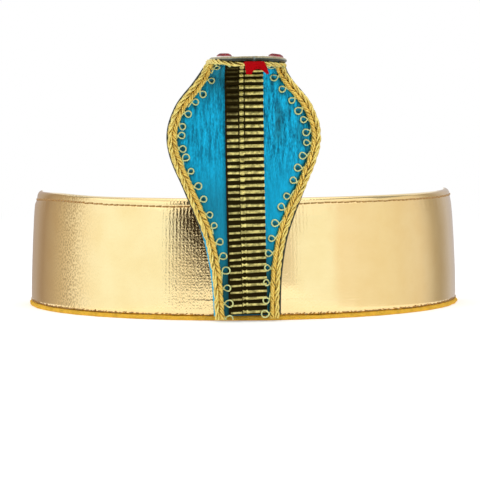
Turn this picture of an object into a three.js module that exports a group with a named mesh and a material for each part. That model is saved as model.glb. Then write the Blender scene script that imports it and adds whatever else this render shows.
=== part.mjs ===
// Costume headpiece: a stiff gold lame band for the front of the head, with a rearing cobra standing
// on it and a flat elastic that closes the ring behind. Millimetres, +Z up, and the cobra faces -Y.
// The origin is the middle of the head opening, on the plane of the band's lower edge.
import * as THREE from "three";

// Band, an oval wall that leans in towards its top
const OPENING_HALF_WIDTH = 78.3; // inside of the lining at the lower edge, ear to ear
const OPENING_HALF_LENGTH = 96; // the same from the forehead to the back of the head
const BAND_HEIGHT = 44;
const BAND_LEAN = 2.1; // how much nearer the middle the top edge stands than the lower edge
const BAND_END_TURN = 92; // degrees from the front to each end of the band
const BAND_STEPS = 46;
const GAP = 0.3; // between pieces that touch

// Lining, a felt layer whose lower edge is rolled out under the cover
const LINING_THICK = 1.8;
const LINING_SHORT = 1.2; // it stops this far below the top of the band
const LIP_HEIGHT = 2;
const LIP_REACH = 5.1; // from the inside of the lining to the front of the lip

// Cover, lame over thin foam. A row for each level up its outside: thick is the padded thickness.
const COVER_LEVELS = [
  { rise: 2.3, thick: 2.1 }, // lower edge, stitched down on the lip
  { rise: 3.4, thick: 2.5 },
  { rise: 7, thick: 2.6 }, // ridge where the lower hem ends
  { rise: 13, thick: 2.8 },
  { rise: 24, thick: 2.85 },
  { rise: 36.5, thick: 2.8 },
  { rise: 39.4, thick: 2.5 }, // ridge where the top hem ends
  { rise: 40.6, thick: 1.7 }, // row of stitches
  { rise: 42.2, thick: 2.1 },
  { rise: 43.6, thick: 1.8 },
  { rise: 44, thick: 1.2 }, // folded top edge
];

// Elastic, a flat strap sewn inside the two ends of the band
const ELASTIC_WIDTH = 25;
const ELASTIC_THICK = 1.2;
const ELASTIC_LAP_TURN = 8.5; // degrees of overlap with the band at each end
const ELASTIC_STEPS = 44;

// Cobra, placed in front of the band and turned a little to its side
const COBRA_FORWARD = 103.6; // from the middle of the opening to the middle of the hood's wall
const COBRA_FOOT = 0.8; // height of the braid's lower ends
const COBRA_SIDE = 1.3; // it is sewn on a little to one side
const COBRA_TURN = 7.5; // degrees about the vertical
const COBRA_TILT = 0.6; // degrees sideways
const HOOD_LEAN_BACK = 2.7; // degrees, the slope of the band that carries it
const HOOD_STRAIGHT = 45; // length of the stretch that lies on the band
const HOOD_LEAN_FORWARD = 6; // degrees, where the gentle curve ends
const HOOD_CURVE = 41.2; // length of the gentle forward curve
const NECK_RADIUS = 8; // bend between the hood and the head
const HEAD_PITCH = 90; // degrees from upright to the head's own direction
const HEAD_CROWN = 0.9; // how far the sides of the head droop below its middle
const HEAD_CROWN_HALF = 13.4;
const WALL_MIDDLE = 3; // padded thickness down the middle
const WALL_EDGE = 1.8;
const WALL_HEAD = 1.5; // the head is not padded
const WALL_THINS = { from: 78, to: 98 }; // along the wall

// Outline of the hood and head laid flat: half width against the length from the lower end
const OUTLINE = [
  { along: 0, half: 12.1 },
  { along: 12, half: 12.6 },
  { along: 20, half: 13.5 },
  { along: 29, half: 15.3 },
  { along: 37, half: 18.1 },
  { along: 43, half: 20.6 },
  { along: 49, half: 23 },
  { along: 54.5, half: 25.4 },
  { along: 60, half: 27.2 },
  { along: 65.5, half: 27.9 },
  { along: 71, half: 27.1 },
  { along: 77, half: 24.6 },
  { along: 81, half: 21.8 },
  { along: 85, half: 18.4 },
  { along: 89, half: 15.9 },
  { along: 94, half: 14.6 }, // neck
  { along: 100, half: 14.2 },
  { along: 106, half: 13.5 }, // across the eyes
  { along: 112, half: 11.6 },
  { along: 116.5, half: 8.4 },
  { along: 119, half: 4.6 },
  { along: 119.8, half: 0 }, // snout
];
const PANEL_STEPS = 44;
const PANEL_CUT = { from: 0.0075, to: 0.985 }; // shares of the outline where its foot and snout are cut
const PANEL_SHARES = [-0.96, -0.7, -0.35, 0, 0.35, 0.7, 0.96]; // of the half width, across each face

// Ribbed ribbon down the middle of the hood and under the head
const STRIP_HALF_WIDTH = 6.9;
const STRIP_START = 1.7;
const STRIP_END = 110;
const STRIP_BASE = 0.7;
const STRIP_FLAT = 0.8; // share of the half width where the ribs start to fall off
const STRIP_SIDE = 0.7; // share of a rib's height that is left at the ribbon's sides
const RIB_PITCH = 2.38;
const RIB_RAISE = 0.9;
const RIB_LEVELS = [
  { share: 0, raise: 0 },
  { share: 0.26, raise: 1 },
  { share: 0.6, raise: 1 },
  { share: 0.88, raise: 0 },
];

// Braid round the edge, two cords side by side
const CORD_RADIUS = 1.15;
const CORD_OFFSET = 0.6; // of each cord from the middle of the braid
const BRAID_MARGIN = 0.4; // of wall left outside the braid
const BRAID_SEAT = 0.8; // share of the hood's half width whose padding carries the braid
const SNOUT_SETBACK = 1.7; // of the braid at the snout, which leaves room for the tongue
const SNOUT_STARTS = { from: 106, to: 117 }; // along the wall
const BRAID_STEPS = 124;
const LOBE_TURNS = [-115, -60, 0, 60, 115]; // degrees round the free side of a cord

// Tongue, forked felt whose root is glued under the snout and whose end droops in front of it
const TONGUE_HALF_WIDTH = 4; // at its tips
const TONGUE_ROOT_HALF = 3.5; // half width where it is glued
const TONGUE_SIDE = -0.5; // place of its root from the middle of the snout
const TONGUE_DRIFT = 0.5; // how far sideways it hangs from root to tips
const TONGUE_THICK = 1;
const TONGUE_ROOT = 1.4; // length of it under the snout
const TONGUE_BEND = 3; // radius of its droop
const TONGUE_DROOP = 45; // degrees below the head's own direction
const TONGUE_LENGTH = 7.8;
const FORK_DEPTH = 2.6;
const FORK_CENTRE = 0.6;
const FORK_HALF_WIDTH = 2.8;
const TONGUE_STEPS_ALONG = 8;
const TONGUE_STEPS_ACROSS = 10;

// Eyes, faceted stones with flat backs
const EYE_RADIUS = 2.7;
const EYE_TABLE_RADIUS = 1.55;
const EYE_GIRDLE = 0.4;
const EYE_HEIGHT = 1.1;
const EYE_FACETS = 10;
const EYE_ALONG = 105; // on the outline laid flat
const EYE_ACROSS = 9.2;
const EYE_SHIFT = 0.6; // both sit a little to one side
const EYE_TILT = 9; // degrees, with the droop of the head's sides

const rad = THREE.MathUtils.degToRad;

function material(name, colour, roughness, metalness) {
  return new THREE.MeshStandardMaterial({ name, color: colour, roughness, metalness });
}

const goldLame = material("gold lame", 0xe6c67c, 0.32, 0.9);
const yellowFelt = material("yellow felt", 0xe3ab30, 0.95, 0);
const elasticKnit = material("elastic", 0xd9a640, 0.9, 0);
const blueLame = material("blue lame", 0x1593bd, 0.35, 0.8);
const ribbedRibbon = material("ribbed ribbon", 0x8d8038, 0.4, 0.6);
const goldThread = material("gold thread", 0xcfa63c, 0.4, 0.85);
const redFelt = material("red felt", 0xb80512, 0.9, 0);
const redStone = material("red stone", 0x9c1020, 0.08, 0);

// One closed mesh from points and triangles, turned so that its faces point out
function closedMesh(name, points, triangles, look) {
  const sixVolumes = triangles.reduce(
    (sum, [a, b, c]) => sum + points[a].dot(new THREE.Vector3().crossVectors(points[b], points[c])),
    0,
  );
  const outward = sixVolumes < 0 ? triangles.map(([a, b, c]) => [a, c, b]) : triangles;
  const geometry = new THREE.BufferGeometry().setFromPoints(points);
  geometry.setIndex(outward.flat());
  geometry.computeVertexNormals();
  const mesh = new THREE.Mesh(geometry, look);
  mesh.name = name;
  return mesh;
}

// A solid through rings of points. Flat end faces follow the outline of a ring in its own plane.
function loft(name, rings, outline, look) {
  const count = outline.length;
  const triangles = [];
  for (let ring = 0; ring + 1 < rings.length; ring++) {
    for (let side = 0; side < count; side++) {
      const a = ring * count + side;
      const b = ring * count + ((side + 1) % count);
      triangles.push([a, b, b + count], [a, b + count, a + count]);
    }
  }
  const last = (rings.length - 1) * count;
  for (const [a, b, c] of THREE.ShapeUtils.triangulateShape(outline, [])) {
    triangles.push([a, c, b], [last + a, last + b, last + c]);
  }
  return closedMesh(name, rings.flat(), facingAlike(triangles, count), look);
}

// The outline may run either way round, so the two end faces are turned to suit the side faces
function facingAlike(triangles, count) {
  const edges = new Set(triangles.filter((_, i) => i < 2 * count).flatMap(directedEdges));
  const firstCap = triangles.findIndex((t) => t.every((corner) => corner < count));
  const clashes = directedEdges(triangles[firstCap]).some((edge) => edges.has(edge));
  return clashes ? triangles.map((t, i) => (i < firstCap ? t : [t[0], t[2], t[1]])) : triangles;
}

function directedEdges([a, b, c]) {
  return [`${a}>${b}`, `${b}>${c}`, `${c}>${a}`];
}

// Point of the ring: turn in degrees from the front, out from the inside of the lining, and height
function ringPoint(turn, out, height) {
  const lean = (BAND_LEAN * height) / BAND_HEIGHT;
  const across = OPENING_HALF_WIDTH - lean;
  const deep = OPENING_HALF_LENGTH - lean;
  const [sin, cos] = [Math.sin(rad(turn)), Math.cos(rad(turn))];
  const outward = new THREE.Vector3(deep * sin, -across * cos, 0).normalize();
  return new THREE.Vector3(across * sin, -deep * cos, height).addScaledVector(outward, out);
}

// A wall of the ring between two turns, from a section with x outwards and y up
function ringWall(name, section, fromTurn, toTurn, steps, look) {
  const rings = [];
  for (let step = 0; step <= steps; step++) {
    const turn = THREE.MathUtils.lerp(fromTurn, toTurn, step / steps);
    rings.push(section.map((p) => ringPoint(turn, p.x, p.y)));
  }
  return loft(name, rings, section, look);
}

function bandCover() {
  const inside = LINING_THICK + GAP;
  const section = COVER_LEVELS.map(({ rise, thick }) => new THREE.Vector2(inside + thick, rise));
  section.push(new THREE.Vector2(inside, BAND_HEIGHT));
  section.push(new THREE.Vector2(inside, BAND_HEIGHT / 2));
  section.push(new THREE.Vector2(inside, LIP_HEIGHT + GAP));
  return ringWall("band_cover", section, -BAND_END_TURN, BAND_END_TURN, BAND_STEPS, goldLame);
}

function bandLining() {
  const top = BAND_HEIGHT - LINING_SHORT;
  const roll = LIP_HEIGHT / 4;
  const section = [
    [0, 0],
    [LIP_REACH - roll, 0],
    [LIP_REACH, roll],
    [LIP_REACH, LIP_HEIGHT - roll],
    [LIP_REACH - roll, LIP_HEIGHT],
    [LINING_THICK, LIP_HEIGHT],
    [LINING_THICK, top],
    [0, top],
  ].map(([out, height]) => new THREE.Vector2(out, height));
  return ringWall("band_lining", section, -BAND_END_TURN, BAND_END_TURN, BAND_STEPS, yellowFelt);
}

function backElastic() {
  const low = (BAND_HEIGHT - ELASTIC_WIDTH) / 2;
  const high = low + ELASTIC_WIDTH;
  const [inner, outer] = [-GAP - ELASTIC_THICK, -GAP];
  const section = [
    [inner, low],
    [outer, low],
    [outer, high],
    [inner, high],
  ].map(([out, height]) => new THREE.Vector2(out, height));
  const start = BAND_END_TURN - ELASTIC_LAP_TURN;
  return ringWall("back_elastic", section, start, 360 - start, ELASTIC_STEPS, elasticKnit);
}

// Stretches of a side view, straight or bent, with their directions in degrees from upright to forward
const SPINE = [
  { length: HOOD_STRAIGHT, from: -HOOD_LEAN_BACK, to: -HOOD_LEAN_BACK },
  { length: HOOD_CURVE, from: -HOOD_LEAN_BACK, to: HOOD_LEAN_FORWARD },
  {
    length: NECK_RADIUS * rad(HEAD_PITCH - HOOD_LEAN_FORWARD),
    from: HOOD_LEAN_FORWARD,
    to: HEAD_PITCH,
  },
  { length: Infinity, from: HEAD_PITCH, to: HEAD_PITCH },
];
const TONGUE_PATH = [
  { length: TONGUE_ROOT, from: HEAD_PITCH, to: HEAD_PITCH },
  { length: TONGUE_BEND * rad(TONGUE_DROOP), from: HEAD_PITCH, to: HEAD_PITCH + TONGUE_DROOP },
  { length: Infinity, from: HEAD_PITCH + TONGUE_DROOP, to: HEAD_PITCH + TONGUE_DROOP },
];

// Place reached after a length along such stretches: how far forward, how high, and the direction
function walk(stretches, along) {
  let [forward, height, left] = [0, 0, along];
  for (const { length, from, to } of stretches) {
    const part = Math.min(left, length);
    const reached = from === to ? to : THREE.MathUtils.lerp(from, to, part / length);
    const chord = rad((from + reached) / 2);
    const bend = rad(reached - from) / 2;
    const straight = bend === 0 ? part : (part * Math.sin(bend)) / bend;
    forward += straight * Math.sin(chord);
    height += straight * Math.cos(chord);
    left -= part;
    if (left <= 0) return { forward, height, angle: rad(reached) };
  }
}

// Point of the cobra: across it, along it from its lower end, and raised off the middle of its wall
// towards the belly. The sides of the head droop by HEAD_CROWN.
function cobraPoint(across, along, raised) {
  const { forward, height, angle } = walk(SPINE, along);
  const droop = HEAD_CROWN * Math.sin(Math.max(angle, 0)) ** 2 * (across / HEAD_CROWN_HALF) ** 2;
  const lift = raised + droop;
  return new THREE.Vector3(
    across,
    -(forward + lift * Math.cos(angle)),
    COBRA_FOOT + height - lift * Math.sin(angle),
  );
}

const outlineCurve = new THREE.SplineCurve(
  OUTLINE.map(({ along, half }) => new THREE.Vector2(half, along)),
);

// Half the wall's thickness at a share of the half width: padded on the hood, even on the head
function wallHalf(share, along) {
  const padded = WALL_EDGE + (WALL_MIDDLE - WALL_EDGE) * (1 - share * share);
  const thinned = THREE.MathUtils.smoothstep(along, WALL_THINS.from, WALL_THINS.to);
  return THREE.MathUtils.lerp(padded, WALL_HEAD, thinned) / 2;
}

function hoodPanel() {
  const sides = [
    { share: -1, face: 0 },
    ...PANEL_SHARES.map((share) => ({ share, face: 1 })),
    { share: 1, face: 0 },
    ...[...PANEL_SHARES].reverse().map((share) => ({ share, face: -1 })),
  ];
  const rings = [];
  for (let step = 0; step <= PANEL_STEPS; step++) {
    const cut = THREE.MathUtils.lerp(PANEL_CUT.from, PANEL_CUT.to, step / PANEL_STEPS);
    const { x: half, y: along } = outlineCurve.getPoint(cut);
    rings.push(
      sides.map(({ share, face }) => cobraPoint(share * half, along, face * wallHalf(share, along))),
    );
  }
  const outline = sides.map(({ share, face }) => new THREE.Vector2(share, face * wallHalf(share, 0)));
  return loft("hood_panel", rings, outline, blueLame);
}

function bellyStrip() {
  const sectionAt = (raise, along) => {
    const floor = wallHalf(0, along) + GAP;
    const top = floor + STRIP_BASE + RIB_RAISE * raise;
    const side = floor + STRIP_BASE + RIB_RAISE * raise * STRIP_SIDE;
    const flat = STRIP_HALF_WIDTH * STRIP_FLAT;
    return [
      new THREE.Vector2(-STRIP_HALF_WIDTH, floor),
      new THREE.Vector2(STRIP_HALF_WIDTH, floor),
      new THREE.Vector2(STRIP_HALF_WIDTH, side),
      new THREE.Vector2(flat, top),
      new THREE.Vector2(-flat, top),
      new THREE.Vector2(-STRIP_HALF_WIDTH, side),
    ];
  };
  const ribs = Math.floor((STRIP_END - STRIP_START) / RIB_PITCH);
  const rings = [];
  for (let rib = 0; rib < ribs; rib++) {
    for (const { share, raise } of RIB_LEVELS) {
      const along = STRIP_START + (rib + share) * RIB_PITCH;
      rings.push(sectionAt(raise, along).map((p) => cobraPoint(p.x, along, p.y)));
    }
  }
  return loft("belly_strip", rings, sectionAt(1, 0), ribbedRibbon);
}

// Middle line of the braid on the outline laid flat: up one side, round the snout and down the other
function braidLine() {
  const side = [];
  for (let step = 0; step <= BRAID_STEPS / 2; step++) {
    const share = step / (BRAID_STEPS / 2);
    const tangent = outlineCurve.getTangentAt(share);
    const inward = new THREE.Vector2(-tangent.y, tangent.x);
    const edge = outlineCurve.getPointAt(share);
    const atSnout = THREE.MathUtils.smoothstep(edge.y, SNOUT_STARTS.from, SNOUT_STARTS.to);
    const inset = BRAID_MARGIN + SNOUT_SETBACK * atSnout + CORD_OFFSET + CORD_RADIUS;
    side.push(edge.addScaledVector(inward, inset));
  }
  side[side.length - 1].x = 0;
  const otherSide = side.slice(0, -1).reverse();
  return [...side, ...otherSide.map((p) => new THREE.Vector2(-p.x, p.y))];
}

function edgeBraid() {
  const lobe = (turn, side) =>
    new THREE.Vector2(
      side * (CORD_OFFSET + CORD_RADIUS * Math.cos(rad(turn))),
      side * CORD_RADIUS * Math.sin(rad(turn)),
    );
  const section = [1, -1].flatMap((side) => LOBE_TURNS.map((turn) => lobe(turn, side)));
  const line = braidLine();
  const rings = line.map((p, i) => {
    const before = line[Math.max(i - 1, 0)];
    const after = line[Math.min(i + 1, line.length - 1)];
    const tangent = after.clone().sub(before).normalize();
    const raised = wallHalf(BRAID_SEAT, p.y) + GAP + CORD_RADIUS;
    return section.map((q) =>
      cobraPoint(p.x - q.x * tangent.y, p.y + q.x * tangent.x, raised + q.y),
    );
  });
  return loft("edge_braid", rings, section, goldThread);
}

// Length of the tongue at a place across it: an arched fork is cut out of its free end
function tongueLength(across) {
  const share = Math.min(Math.abs(across - FORK_CENTRE) / FORK_HALF_WIDTH, 1);
  return TONGUE_LENGTH - FORK_DEPTH * Math.sqrt(1 - share * share);
}

function tongue() {
  const rootAlong = outlineCurve.getPoint(1).y - TONGUE_ROOT;
  const root = cobraPoint(0, rootAlong, wallHalf(0, rootAlong) + GAP + TONGUE_THICK / 2);
  const point = (across, along, raised) => {
    const { forward, height, angle } = walk(TONGUE_PATH, along);
    const reached = along / TONGUE_LENGTH;
    const narrowed = THREE.MathUtils.lerp(TONGUE_ROOT_HALF / TONGUE_HALF_WIDTH, 1, reached);
    return new THREE.Vector3(
      TONGUE_SIDE + across * narrowed + TONGUE_DRIFT * reached,
      root.y - forward - raised * Math.cos(angle),
      root.z + height - raised * Math.sin(angle),
    );
  };
  const rings = [];
  const outline = [];
  for (let column = 0; column <= TONGUE_STEPS_ACROSS; column++) {
    const across = TONGUE_HALF_WIDTH * ((2 * column) / TONGUE_STEPS_ACROSS - 1);
    const faces = [TONGUE_THICK / 2, -TONGUE_THICK / 2].map((raised) => {
      const row = [];
      for (let step = 0; step <= TONGUE_STEPS_ALONG; step++) {
        const along = (tongueLength(across) * step) / TONGUE_STEPS_ALONG;
        row.push([along, raised]);
      }
      return row;
    });
    const ring = [...faces[0], ...faces[1].reverse()];
    if (column === 0) outline.push(...ring.map(([along, raised]) => new THREE.Vector2(along, raised)));
    rings.push(ring.map(([along, raised]) => point(across, along, raised)));
  }
  return loft("tongue", rings, outline, redFelt);
}

// A stone with a flat back, a low girdle, slanting facets and a flat table
function eye(name, side) {
  const profile = [
    new THREE.Vector2(0, 0),
    new THREE.Vector2(EYE_RADIUS, 0),
    new THREE.Vector2(EYE_RADIUS, EYE_GIRDLE),
    new THREE.Vector2(EYE_TABLE_RADIUS, EYE_HEIGHT),
    new THREE.Vector2(0, EYE_HEIGHT),
  ];
  const stone = new THREE.Mesh(new THREE.LatheGeometry(profile, EYE_FACETS), redStone);
  stone.name = name;
  const across = side * EYE_ACROSS + EYE_SHIFT;
  const seat = wallHalf(EYE_ACROSS / HEAD_CROWN_HALF, EYE_ALONG) + GAP;
  stone.position.copy(cobraPoint(across, EYE_ALONG, -seat));
  stone.rotation.set(Math.PI / 2, side * rad(EYE_TILT), 0, "YXZ");
  return stone;
}

const cobra = new THREE.Group();
cobra.add(hoodPanel(), bellyStrip(), edgeBraid(), tongue(), eye("eye_left", -1), eye("eye_right", 1));
cobra.position.set(COBRA_SIDE, -COBRA_FORWARD, 0);
cobra.rotation.set(0, -rad(COBRA_TILT), rad(COBRA_TURN), "ZYX");

const headpiece = new THREE.Group();
headpiece.add(bandCover(), bandLining(), backElastic(), cobra);

export default headpiece;
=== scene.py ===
"""Egyptian headpiece: the finished surfaces of a gold headband that carries a rearing cobra.

The file is laid out as an add-on and is run as a script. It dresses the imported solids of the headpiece:
each operator makes one piece, or a group of like pieces, as surfaces worked out with numpy. Everything is
in metres in the solids' own frame: +Z up, the cobra faces -Y, the origin is the middle of the head opening.
"""

import math

import bpy
import numpy as np
from bpy.props import FloatProperty, FloatVectorProperty, IntProperty, PointerProperty
from mathutils import Matrix, Vector


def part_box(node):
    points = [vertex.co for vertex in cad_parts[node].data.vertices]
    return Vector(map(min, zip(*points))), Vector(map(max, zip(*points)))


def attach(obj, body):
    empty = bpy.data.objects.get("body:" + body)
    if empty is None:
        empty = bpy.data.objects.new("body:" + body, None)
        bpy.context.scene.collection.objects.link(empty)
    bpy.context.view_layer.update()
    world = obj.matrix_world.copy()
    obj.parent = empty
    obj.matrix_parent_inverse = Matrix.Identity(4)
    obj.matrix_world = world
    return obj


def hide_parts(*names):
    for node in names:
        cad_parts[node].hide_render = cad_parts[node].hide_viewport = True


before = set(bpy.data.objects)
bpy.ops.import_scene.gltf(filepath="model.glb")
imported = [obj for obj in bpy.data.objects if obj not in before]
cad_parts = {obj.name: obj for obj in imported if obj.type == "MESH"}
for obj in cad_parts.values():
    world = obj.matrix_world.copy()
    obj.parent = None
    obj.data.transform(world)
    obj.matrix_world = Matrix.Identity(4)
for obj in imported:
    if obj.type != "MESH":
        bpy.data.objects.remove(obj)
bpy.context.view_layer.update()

bl_info = {
    "name": "Egyptian headpiece",
    "version": (1, 0, 0),
    "blender": (4, 5, 0),
    "location": "3D View > Sidebar > Headpiece",
    "description": "Builds the cloth, braid, thread and stones of a cobra headpiece round its solids",
    "category": "Add Mesh",
}

MM = 0.001
BODY = "root"
FIT_MARGIN = 3 * MM  # a finished piece stays this close to the solid that it stands for
HEAD_REACH = 50 * MM  # length that the side view keeps for the level head, more than it needs
DROOP_REACH = 20 * MM  # length that the side view keeps for the drooping end of the tongue
WALK_STEPS = 6001  # points of a side view
RING_STEPS = 3001  # points of the table of lengths round the ring
LEVEL_STEPS = 400  # points of the smooth curve through the levels of the cover
HALF_STEPS = 1200  # points of the outline where its half width is looked up
EDGE_STEPS = 3000  # points of the outline where the braid follows it
TUBE_TURNS = np.linspace(0.0, 2.0 * np.pi, 8, endpoint=False)  # sides of each strand, loop and stitch
STITCH_STEPS = 11  # points along a stitch
SHARP_EDGE = math.radians(50)  # edges sharper than this stay sharp on a smooth surface

# Cover, a row for each level up its outside: rise above the lower edge and padded thickness, millimetres
COVER_LEVELS = (
    (1.65, 1.7),
    (1.8, 2.1),
    (2.7, 2.38),
    (5.0, 2.52),
    (8.0, 2.64),
    (13.0, 2.8),
    (24.0, 2.88),
    (33.0, 2.8),
    (38.2, 2.58),
    (40.6, 2.3),
    (42.3, 2.16),
    (43.4, 1.7),
    (43.9, 1.0),
    (44.0, 0.3),
)

# Top row of stitches: length round the band from the front and rise above the row's base, millimetres
STITCH_LINE = (
    (-128, 0.15),
    (-110, 0.8),
    (-99, 1.15),
    (-86, 1.3),
    (-69, 1.1),
    (-55, 0.7),
    (-39, 0.5),
    (-24, 0.35),
    (20, 1.2),
    (30, 1.4),
    (128, 1.2),
)

# Low ridges where the hems of the cover end: height, rise and length of their unevenness, millimetres,
# and its seed
HEM_RIDGES = (
    (0.025, 7.0, 16, 3),
    (0.07, 37.6, 13, 4),
)

# Outline of the hood and head laid flat: length from the lower end and half width, millimetres
OUTLINE = (
    (0, 12.1),
    (12, 12.6),
    (20, 13.5),
    (29, 15.3),
    (37, 18.1),
    (43, 20.6),
    (49, 23),
    (54.5, 25.4),
    (60, 27.2),
    (65.5, 27.9),
    (71, 27.1),
    (77, 24.6),
    (81, 21.8),
    (85, 18.4),
    (89, 15.9),
    (94, 14.6),
    (100, 14.2),
    (106, 13.5),
    (112, 11.6),
    (116.5, 8.4),
    (119, 4.6),
    (119.8, 0),
)

# Thread loop, a point a row: along the braid, inward from the braid and lift off the hood, millimetres
LOOP_SHAPE = (
    (2.4, -1.1, 0.85),
    (1.2, -0.35, 0.75),
    (0.3, 0.15, 0.5),
    (-0.75, 0.85, 0.25),
    (-1.2, 1.8, 0.05),
    (-0.75, 2.75, 0.0),
    (0.15, 3.0, 0.0),
    (1.0, 2.6, 0.0),
    (1.2, 1.75, 0.05),
    (0.75, 0.85, 0.2),
    (0.0, 0.1, 0.4),
    (-0.9, -0.7, 0.5),
)

# Stone, a row for each ring of corners: radius and height in millimetres, and turn in half facets
STONE_RINGS = (
    (0.02, 0.0, 0),
    (2.7, 0.0, 0),
    (2.7, 0.4, 0),
    (2.2, 0.78, 1),
    (1.55, 1.1, 2),
    (0.02, 1.1, 2),
)

# Softboxes, all aimed at the headpiece: degrees round from the front (right is positive), degrees up,
# distance, width and height in metres, and brightness
SOFTBOXES = (
    ("left_softbox", -81, 22, 1.3, 1.8, 1.1, 0.94),
    ("right_softbox", 62, 22, 1.3, 1.6, 1.1, 0.76),
    ("front_softbox", 0, 50, 1.5, 1.3, 0.6, 1.6),
    ("top_softbox", 0, 90, 1.6, 2.2, 2.2, 1.0),
)

# Brightness of the dark card, even all along it
DARK = (0.020, 0.010, 0.003)

# Upright cards that only show as reflections: top in metres, then stations along the card, each with its
# x, y and bottom in metres and its brightness in red, green and blue
CARDS = (
    ("dark_card", 0.26, (
        (-0.120, -0.210, 0.046, DARK),
        (-0.104, -0.220, 0.036, DARK),
        (-0.0824, -0.232, 0.024, DARK),
        (-0.066, -0.239, 0.018, DARK),
        (-0.022, -0.247, 0.008, DARK),
    )),
    ("left_card", 0.062, (
        (-0.088, -0.155, 0.0, (1.07, 1.15, 1.18)),
        (-0.088, -0.080, 0.0, (1.07, 1.15, 1.18)),
        (-0.088, -0.066, 0.0, (1.06, 1.09, 1.10)),
        (-0.088, -0.0565, 0.0, (1.02, 1.01, 1.00)),
        (-0.088, -0.050, 0.0, (0.88, 0.83, 0.77)),
        (-0.088, -0.042, 0.0, (0.67, 0.59, 0.49)),
        (-0.088, -0.035, 0.0, (0.53, 0.44, 0.35)),
        (-0.088, -0.020, 0.0, (0.38, 0.29, 0.22)),
        (-0.088, -0.006, 0.0, (0.47, 0.39, 0.34)),
        (-0.088, 0.150, 0.0, (0.54, 0.45, 0.44)),
    )),
    ("left_upper_card", 1.4, (
        (-0.83, -0.95, 0.78, (0.95, 0.95, 0.95)),
        (-0.83, 0.40, 0.78, (0.95, 0.95, 0.95)),
    )),
    ("right_near_card", 0.7, (
        (0.28, -1.06, 0.0, (0.82, 0.80, 0.78)),
        (0.56, -0.95, 0.0, (0.82, 0.80, 0.78)),
    )),
    ("right_card", 0.062, (
        (0.088, -0.200, 0.0, (1.06, 1.14, 1.18)),
        (0.088, -0.131, 0.0, (1.06, 1.14, 1.18)),
        (0.088, -0.118, 0.0, (1.00, 0.96, 0.90)),
        (0.088, -0.075, 0.0, (0.94, 0.90, 0.81)),
        (0.088, -0.048, 0.0, (0.85, 0.79, 0.72)),
        (0.088, -0.0416, 0.0, (0.74, 0.68, 0.62)),
        (0.088, -0.033, 0.0, (0.51, 0.45, 0.37)),
        (0.088, -0.0265, 0.0, (0.45, 0.39, 0.32)),
        (0.088, -0.010, 0.0, (0.58, 0.54, 0.55)),
        (0.088, 0.150, 0.0, (0.58, 0.54, 0.55)),
    )),
    ("back_card", 1.6, (
        (-1.0, 1.0, 0.0, (0.9, 0.9, 0.9)),
        (1.0, 1.0, 0.0, (0.9, 0.9, 0.9)),
    )),
)
AIM = Vector((0.0, -0.09, 0.05))


# Properties

def size(name, description, millimetres):
    """A length that a user may change, whose default is given in millimetres."""
    return FloatProperty(
        name=name, description=description, default=millimetres * MM, unit="LENGTH", precision=5
    )


def angle(name, description, degrees):
    """An angle that a user may change, whose default is given in degrees."""
    return FloatProperty(
        name=name, description=description, default=math.radians(degrees), subtype="ANGLE"
    )


def colour(name, description, red, green, blue):
    """A linear colour that a user may change."""
    return FloatVectorProperty(
        name=name, description=description, default=(red, green, blue), subtype="COLOR", min=0, max=1
    )


class BandSettings(bpy.types.PropertyGroup):
    """Sizes and colours of the headband and its elastic"""

    half_width: size("Half width", "Inside of the lining at the lower edge, ear to ear", 78.3)
    half_length: size("Half length", "Inside of the lining, from the middle to the forehead", 96)
    height: size("Height", "Lower edge to top edge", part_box("band_cover")[1].z / MM)
    lean: size("Lean", "How much nearer the middle the top edge stands", 2.1)
    end_turn: angle("End", "Turn from the front to each end of the band", 92)
    lining_thick: size("Lining", "Thickness of the felt", 1.8)
    lining_short: size("Lining top", "How far below the top of the band the felt stops", 1.2)
    lip_height: size("Lip height", "Height of the rolled lower edge", 1.6)
    lip_reach: size("Lip reach", "From the inside of the lining to the front of the lip", 5.1)
    gap: size("Gap", "Between two layers", 0.3)
    stitch_rise: size("Stitch row", "Base from which the top row of stitches rises", 40.6)
    stitch_pitch: size("Stitch pitch", "From one stitch to the next", 2.7)
    elastic_width: size("Elastic", "Width of the elastic", 25)
    elastic_thick: size("Elastic thickness", "Thickness of the elastic", 1.2)
    elastic_lap: angle("Elastic lap", "Overlap of the elastic and the band at each end", 8.5)
    weave_pitch: size("Weave", "From one column of the knitted foil to the next", 1.35)
    gold_pale: colour("Pale gold", "Foil of the cover", 0.94, 0.745, 0.39)
    # Deep gold is real in the worn patches and painted light elsewhere: painted shade at the low points of
    # the grain and, dimmed, the painted glint specks
    gold_deep: colour("Deep gold", "Foil where it is worn or creased", 0.86, 0.60, 0.24)
    felt_yellow: colour("Felt", "Lining felt", 0.84, 0.49, 0.055)
    elastic_gold: colour("Elastic", "Elastic yarn", 0.66, 0.38, 0.06)
    thread_brown: colour("Stitches", "Sewing thread", 0.54, 0.28, 0.05)


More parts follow.
